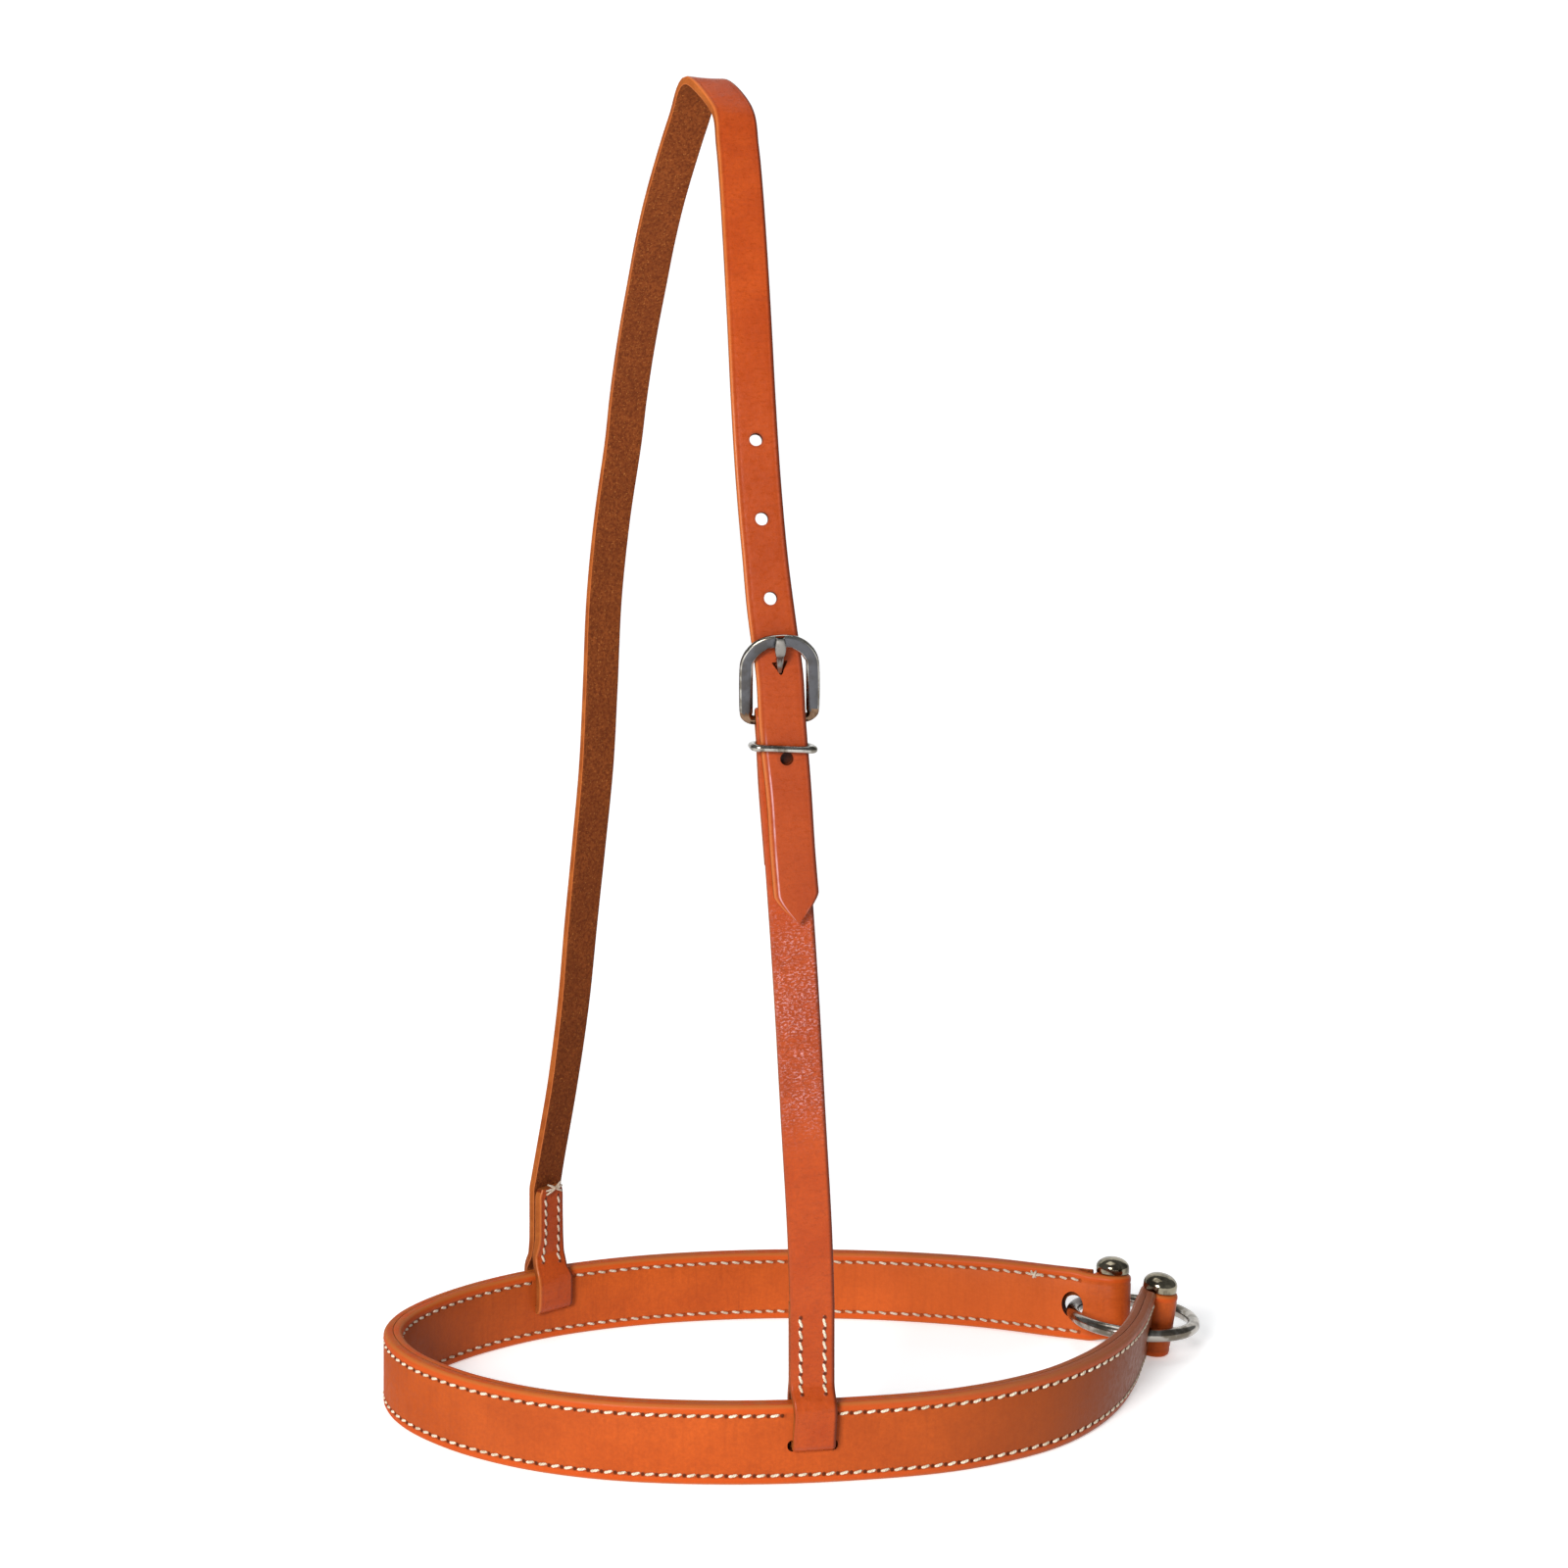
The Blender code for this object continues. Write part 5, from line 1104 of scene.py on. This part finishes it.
def strapRow(name, node, route, first, y):   # y is measured after the strap is narrowed
    spots = [strapSpot(route, first + stitch["loopPitch"] * (k + 0.5), y, strap["width"] / 2,
                       strapHalf + threadRise["loop"]) for k in range(stitch["loopCount"])]
    sew(name, loopStitch, spots, stitch["loopSlant"],
        insideThread if name.startswith("farLoop") else waxedThread, node)


farEndSide, farEndShare = -0.95 * mm, 0.86   # the far turned end's middle and width after narrowing
for word, side in (("left", 1), ("right", -1)):
    y = side * stitch["rowSpacing"] / 2
    for name, node, route, first, across in (
            ("nearLoopInside_", "near_loop_row_inside_", cheekRoute, fromTop, y),
            ("nearLoopOutside_", "near_loop_row_outside_", cheekRoute, nearLoopEnd - fromTop - rowReach, y),
            ("farLoopInside_", "far_loop_row_inside_", crownRoute, crownEnd - fromTop - rowReach,
             farEndSide - y * farEndShare),
            ("farLoopOutside_", "far_loop_row_outside_", crownRoute, farLoopStart + fromTop, -y),
            ("foldRow_", "fold_row_", cheekRoute, foldRowAt, -y)):
        strapRow(name + word, node + word, route, first, across)
print("rows sewn")

# Thread ends over the far loop's turned end
crossStitch = oneStitch("crossStitch", stitch["crossLength"])
crossSpots = []
for y, turned in ((-0.4 * mm, 24), (0.3 * mm, -26), (-0.1 * mm, 3)):
    place, along, out = strapSpot(crownRoute, crownEnd - stitch["crossDrop"], y, strap["width"] / 2,
                                  strapHalf + stitch["crossRise"])
    across = out.cross(along).normalized()
    turn = math.radians(turned)
    crossSpots.append((place, across * math.cos(turn) - along * math.sin(turn), out))
sew("farLoopCross", crossStitch, crossSpots, 0.0, insideThread, "far_loop_cross_thread")
knotSpots = []   # the thread was tied off on the far upper row
for turned, back in ((62, 4.4), (-48, 4.5), (10, 4.0)):
    place, along, out = strapSpot(liningRoute, bandEnd - sewing["pitch"] * back, rowHeight, halfHeight,
                                  sewnLayer / 2 + threadRise["knot"])
    across = out.cross(along).normalized()
    turn = math.radians(turned)
    knotSpots.append((place, along * math.cos(turn) + across * math.sin(turn), out))
sew("farRowKnot", bandStitch, knotSpots, 0.0, insideThread)


# Hardware
def nodeCopy(name, node):   # a CAD node's shape as one mesh of quads
    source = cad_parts[node]
    deselectAll()
    piece = bpy.data.objects.new(name, source.data.copy())
    bpy.context.scene.collection.objects.link(piece)
    takeUp(piece)
    bpy.ops.object.mode_set(mode='EDIT')
    bpy.ops.mesh.select_all(action='SELECT')
    bpy.ops.mesh.remove_doubles(threshold=0.01 * mm)
    bpy.ops.mesh.tris_convert_to_quads(face_threshold=math.radians(60), shape_threshold=math.radians(60))
    bpy.ops.object.mode_set(mode='OBJECT')
    if piece.data.has_custom_normals:
        bpy.ops.mesh.customdata_custom_splitnormals_clear()
    return piece


def rounded(piece, levels):
    modifier = piece.modifiers.new("rounded", 'SUBSURF')
    modifier.levels = modifier.render_levels = levels
    applyAll(piece)


def bevelled(piece, width, segments, degrees):
    modifier = piece.modifiers.new("bevelled", 'BEVEL')
    modifier.width = width
    modifier.segments = segments
    modifier.limit_method = 'ANGLE'
    modifier.angle_limit = math.radians(degrees)
    applyAll(piece)


def turnInto(piece, place, first, second, third):   # stands a piece made at the origin in its place
    stand = Matrix((first, second, third)).transposed().to_4x4()
    stand.translation = place
    piece.data.transform(stand)
    piece.data.update()


# Buckle frame: the CAD loop with rounder shoulders, its faces coloured by which way they face: dark brushed flats that
# paint a dark reflection, brighter polished bevels, sides in painted shade and feet with a painted reflection of the
# leather
frameLook = {"width": 25.9 * mm, "corner": 6.5 * mm, "rounder": 2.6 * mm, "taller": 1.1 * mm,
             "flatShare": 0.93, "sideShare": 0.80, "footUp": 3.2 * mm}
barMiddle = barCentre + barSide * (billetOffset / 2)
frameTilt = math.atan2(barLine + billetLine + strapHalf + buckle["thickness"], buckle["reach"])
railMiddle = (billetAtBar + barUp * buckle["reach"] - barSide * (billetOffset / 2)
              - barIn * (strapHalf + band["gap"] + buckle["thickness"] / 2
                         + buckle["railWidth"] / 2 * math.sin(frameTilt)))
frameUp = (railMiddle - barMiddle).normalized()
frameOut = barSide.cross(frameUp).normalized()
if frameOut.dot(barIn) > 0:
    frameOut = -frameOut
frameLong = (railMiddle - barMiddle).length
cornerSide = (frameLook["width"] - buckle["railWidth"]) / 2 - frameLook["corner"]
cornerUp = frameLong - frameLook["corner"]
frameShape = nodeCopy("buckleFrame", "buckle_frame")
for vertex in frameShape.data.vertices:
    apart = vertex.co - barMiddle
    side, up = apart.dot(barSide), apart.dot(frameUp)
    toward = Vector((abs(side) - cornerSide, up - cornerUp))
    if toward.x > -0.01 * mm and toward.y > -0.01 * mm:   # the corner's centre moves in, its reach grows
        toward.normalize()
        shift = (toward - Vector((1, 1))) * frameLook["rounder"]
        vertex.co += barSide * (shift.x * math.copysign(1, side)) + frameUp * shift.y
    vertex.co += frameUp * (frameLook["taller"] * min(max(up / frameLong, 0), 1))
rounded(frameShape, 2)
smoothOver(frameShape, 60)
dress(frameShape, brushedSteel, polishedSteel, darkSide, warmSteel)
# faces coloured by which way they face: painted dark reflection on the flats, painted shade on the sides, painted
# leather reflection on the feet
for polygon in frameShape.data.polygons:
    if (polygon.center - barMiddle).dot(frameUp) < frameLook["footUp"]:
        polygon.material_index = 3
    elif abs(polygon.normal.dot(frameOut)) > frameLook["flatShare"]:
        polygon.material_index = 0
    else:
        polygon.material_index = 2 if abs(polygon.normal.dot(barSide)) > frameLook["sideShare"] else 1
finished(frameShape, "noseband_and_hanger", "steel", "buckle_frame")

# Tongue: drawn flat, then bent round the bar and through the billet to the top rail
tongueLook = {"eyeTurn": math.radians(300), "eyeShare": 0.55, "overhang": 2.4 * mm, "tipShare": 0.6,
              "width": 3.3 * mm, "step": 0.5 * mm, "dip": 1.0 * mm, "ridge": 0.45, "arch": 0.25 * mm,
              "grainRound": 0.85 * mm, "fleshRound": 0.6 * mm,
              "eyeStops": 24, "shaftStops": 20, "railStops": 12,
              "widths": ((0.0, 0.9), (0.40, 0.9), (0.50, 0.50), (0.66, 0.44), (0.82, 0.80), (0.91, 1.10),
                         (1.0, 0.85))}
railTop = railMiddle + frameUp * frameLook["taller"]
eyeLine = buckle["bar"] + band["gap"] + buckle["eye"] / 2
overRail = frameOut * (buckle["thickness"] / 2 + band["gap"] + buckle["tongueThickness"] / 2)
knee = railTop - frameUp * (buckle["railWidth"] / 2 + buckle["tongueThickness"] / 2) + overRail
tipEnd = railTop + frameUp * tongueLook["overhang"] + overRail - frameOut * (
    buckle["tongueThickness"] * (1 - tongueLook["tipShare"]) / 2)
reachOut = knee - barMiddle
reachLong = math.hypot(reachOut.dot(barUp), reachOut.dot(barIn))
shaftTilt = math.atan2(-reachOut.dot(barIn), reachOut.dot(barUp)) + math.asin(eyeLine / reachLong)
shaftUp = barUp * math.cos(shaftTilt) - barIn * math.sin(shaftTilt)
shaftOut = -(barIn * math.cos(shaftTilt) + barUp * math.sin(shaftTilt))
foot = barMiddle - shaftOut * eyeLine
bends = []   # place, outward, thickness share
for k in range(tongueLook["eyeStops"]):
    turn = tongueLook["eyeTurn"] * (1 - k / tongueLook["eyeStops"])
    radial = -shaftOut * math.cos(turn) - shaftUp * math.sin(turn)
    bends.append((barMiddle + radial * eyeLine, -radial, tongueLook["eyeShare"]))
shaftLong = (knee - foot).dot(shaftUp)
lowest = tongueLook["shaftStops"] // 2
for k in range(tongueLook["shaftStops"] + 1):   # it dips to go through the billet close under the rail
    dip = eased(k / lowest) if k < lowest else math.cos(quarter * ((k - lowest) / lowest) ** 2)
    bends.append((foot + shaftUp * (shaftLong * k / tongueLook["shaftStops"])
                  - shaftOut * (tongueLook["dip"] * dip), shaftOut,
                  tongueLook["eyeShare"] + (1 - tongueLook["eyeShare"]) * eased(k / 5)))
start = bends[-1][0]
for k in range(1, tongueLook["railStops"] + 1):
    share = k / tongueLook["railStops"]
    bends.append((start.lerp(tipEnd, share) + frameOut * (tongueLook["arch"] * math.sin(math.pi * share)),
                  shaftOut.lerp(frameOut, eased(share * 2)).normalized(),
                  1 + (tongueLook["tipShare"] - 1) * share ** 2))
tongueRoute, travelled = [], 0.0
for k, (place, out, share) in enumerate(bends):
    travelled += (place - bends[k - 1][0]).length if k else 0.0
    if tongueLook["eyeStops"] < k < len(bends) - 1:
        out = (bends[k + 1][0] - bends[k - 1][0]).cross(barSide).normalized()
    tongueRoute.append(stop(travelled, place, barSide.cross(out), barSide, out, thick=share))
tongueShape = flatStrap("buckleTongue", 0, travelled, tongueLook["width"], buckle["tongueThickness"],
                        tongueLook["grainRound"], tongueLook["fleshRound"], [0.0], tongueLook["step"])
for vertex in tongueShape.data.vertices:
    along = min(max(vertex.co.x / travelled, 0), 1)
    if vertex.co.z > 0:   # a ridge runs down its middle
        vertex.co.z *= 1 - tongueLook["ridge"] * abs(vertex.co.y) / (tongueLook["width"] / 2)
    for (a, first), (b, last) in zip(tongueLook["widths"], tongueLook["widths"][1:]):
        if a <= along <= b:
            vertex.co.y *= first + (last - first) * eased((along - a) / (b - a))
            break
layOnRoute(tongueShape, tongueRoute, tongueLook["width"] / 2)
smoothOver(tongueShape, 50)
dress(tongueShape, tongueSteel)
finished(tongueShape, "tongue", "steel", "buckle_tongue")

keeperGrow = 0.11 * mm   # the rounding takes this off again
keeperShape = nodeCopy("keeperLoop", "keeper_loop")
takeUp(keeperShape)
bpy.ops.object.mode_set(mode='EDIT')
bpy.ops.mesh.select_all(action='SELECT')
bpy.ops.transform.shrink_fatten(value=keeperGrow)
bpy.ops.object.mode_set(mode='OBJECT')
rounded(keeperShape, 2)
smoothOver(keeperShape, 60)
dress(keeperShape, polishedSteel)
finished(keeperShape, "keeper", "steel", "keeper_loop")

ringShape = {"restGap": 0.9 * mm, "segments": 96, "sides": 20, "weldHalf": math.radians(4), "weld": 1.035,
             "raised": math.radians(0.8)}
nearHole = bandAxes(ring["holeToPin"])[0]
farHole = bandAxes(plan.length - ring["holeToPin"])[0]
chord = (nearHole - farHole).normalized()
swing = Matrix.Rotation(ringShape["raised"] - ring["droop"], 3, chord)
ringDrop = ring["holeHeight"] / 2 - ring["wire"] / 2 - ringShape["restGap"]
ringPlace = farHole + swing @ (ringCentre + upAxis * halfHeight - farHole) - upAxis * ringDrop
ringNormal = swing @ upAxis
ringSide = ringNormal.cross(chord).normalized()
deselectAll()
bpy.ops.mesh.primitive_torus_add(major_segments=ringShape["segments"], minor_segments=ringShape["sides"],
                                 major_radius=ringLine, minor_radius=ring["wire"] / 2)
tieDownRing = added("tieDownRing")
for vertex in tieDownRing.data.vertices:   # the weld stands a little proud of the wire
    around = math.atan2(vertex.co.y, vertex.co.x)
    offWeld = abs(abs(around) - math.pi)
    if offWeld < ringShape["weldHalf"]:
        radial = Vector((math.cos(around), math.sin(around), 0)) * ringLine
        vertex.co = radial + (vertex.co - radial) * ringShape["weld"]
turnInto(tieDownRing, ringPlace, chord, ringSide, ringNormal)
smoothOver(tieDownRing, 40)
dress(tieDownRing, ringSteel)
finished(tieDownRing, "ring", "steel", "tie_down_ring")

post = {"top": 12.0 * mm, "bottom": -9.4 * mm, "under": -11.1 * mm, "edge": 0.35 * mm,
        "screwEdge": 0.2 * mm}


def pin(word, axes, body):
    place, along, up, out = axes
    base = place + out * pinOffset
    skirt = pinPost["domeHeight"] * pinPost["skirtShare"]
    deselectAll()
    bpy.ops.mesh.primitive_uv_sphere_add(segments=48, ring_count=24, radius=pinPost["domeRadius"],
                                         location=(0, 0, post["top"] + skirt))
    bpy.context.object.scale = (1, 1, (pinPost["domeHeight"] - skirt) / pinPost["domeRadius"])
    piece = added(word + "PinPost")
    pick(piece, "faces", lambda f: True)
    bpy.ops.mesh.bisect(plane_co=(0, 0, post["top"] + skirt), plane_no=(0, 0, 1), clear_inner=True,
                        use_fill=True)
    isFloor = lambda low: lambda f: abs(f.normal.z) > 0.9 and abs(f.calc_center_median().z - low) < 0.05 * mm
    pick(piece, "faces", isFloor(post["top"] + skirt))
    bpy.ops.mesh.extrude_region_move(TRANSFORM_OT_translate={"value": (0, 0, -skirt)})
    bpy.ops.mesh.inset(thickness=pinPost["domeRadius"] - pinPost["radius"])
    bpy.ops.mesh.extrude_region_move(TRANSFORM_OT_translate={"value": (0, 0, post["bottom"] - post["top"])})
    bpy.ops.mesh.inset(thickness=pinPost["radius"] - pinPost["bore"])
    bpy.ops.mesh.extrude_region_move(TRANSFORM_OT_translate={"value": (0, 0, pinPost["boreDepth"])})
    bpy.ops.object.mode_set(mode='OBJECT')
    bevelled(piece, post["edge"], 3, 50)
    turnInto(piece, base, along, up.cross(along), up)
    smoothOver(piece, 35)
    dress(piece, domeSteel)
    finished(piece, body, "steel", body + "_post")

    deselectAll()
    bpy.ops.mesh.primitive_cylinder_add(vertices=48, radius=pinPost["radius"], depth=pinPost["headThickness"],
                                        location=(0, 0, post["under"] + pinPost["headThickness"] / 2))
    screw = added(word + "PinScrew")
    pick(screw, "faces", lambda f: f.normal.z > 0.9)
    bpy.ops.mesh.inset(thickness=pinPost["radius"] - pinPost["shank"])
    shankTop = post["bottom"] + pinPost["boreDepth"] - band["gap"]
    bpy.ops.mesh.extrude_region_move(TRANSFORM_OT_translate={
        "value": (0, 0, shankTop - post["under"] - pinPost["headThickness"])})
    bpy.ops.object.mode_set(mode='OBJECT')
    bevelled(screw, post["screwEdge"], 2, 50)
    deselectAll()
    bpy.ops.mesh.primitive_cube_add(size=1, location=(0, 0, post["under"]))
    bpy.context.object.scale = (pinPost["slotWidth"], pinPost["radius"] * 3, pinPost["slotDepth"] * 2)
    punch(screw, added("slotSaw"))
    turnInto(screw, base, along, up.cross(along), up)
    smoothOver(screw, 35)
    dress(screw, brushedSteel)
    finished(screw, body, "steel", body + "_screw")


pin("near", bandAxes(0), "near_pin")
pin("far", bandAxes(plan.length), "far_pin")
for shape in (bandStitch, loopStitch, crossStitch):
    bpy.data.objects.remove(shape)
print("hardware finished")

left = [name for name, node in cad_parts.items() if not node.hide_render]
for name in left:   # any CAD node that still shows
    dress(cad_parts[name], waxedThread if "row" in name or "thread" in name else polishedSteel)
print("CAD nodes that still show:", left)
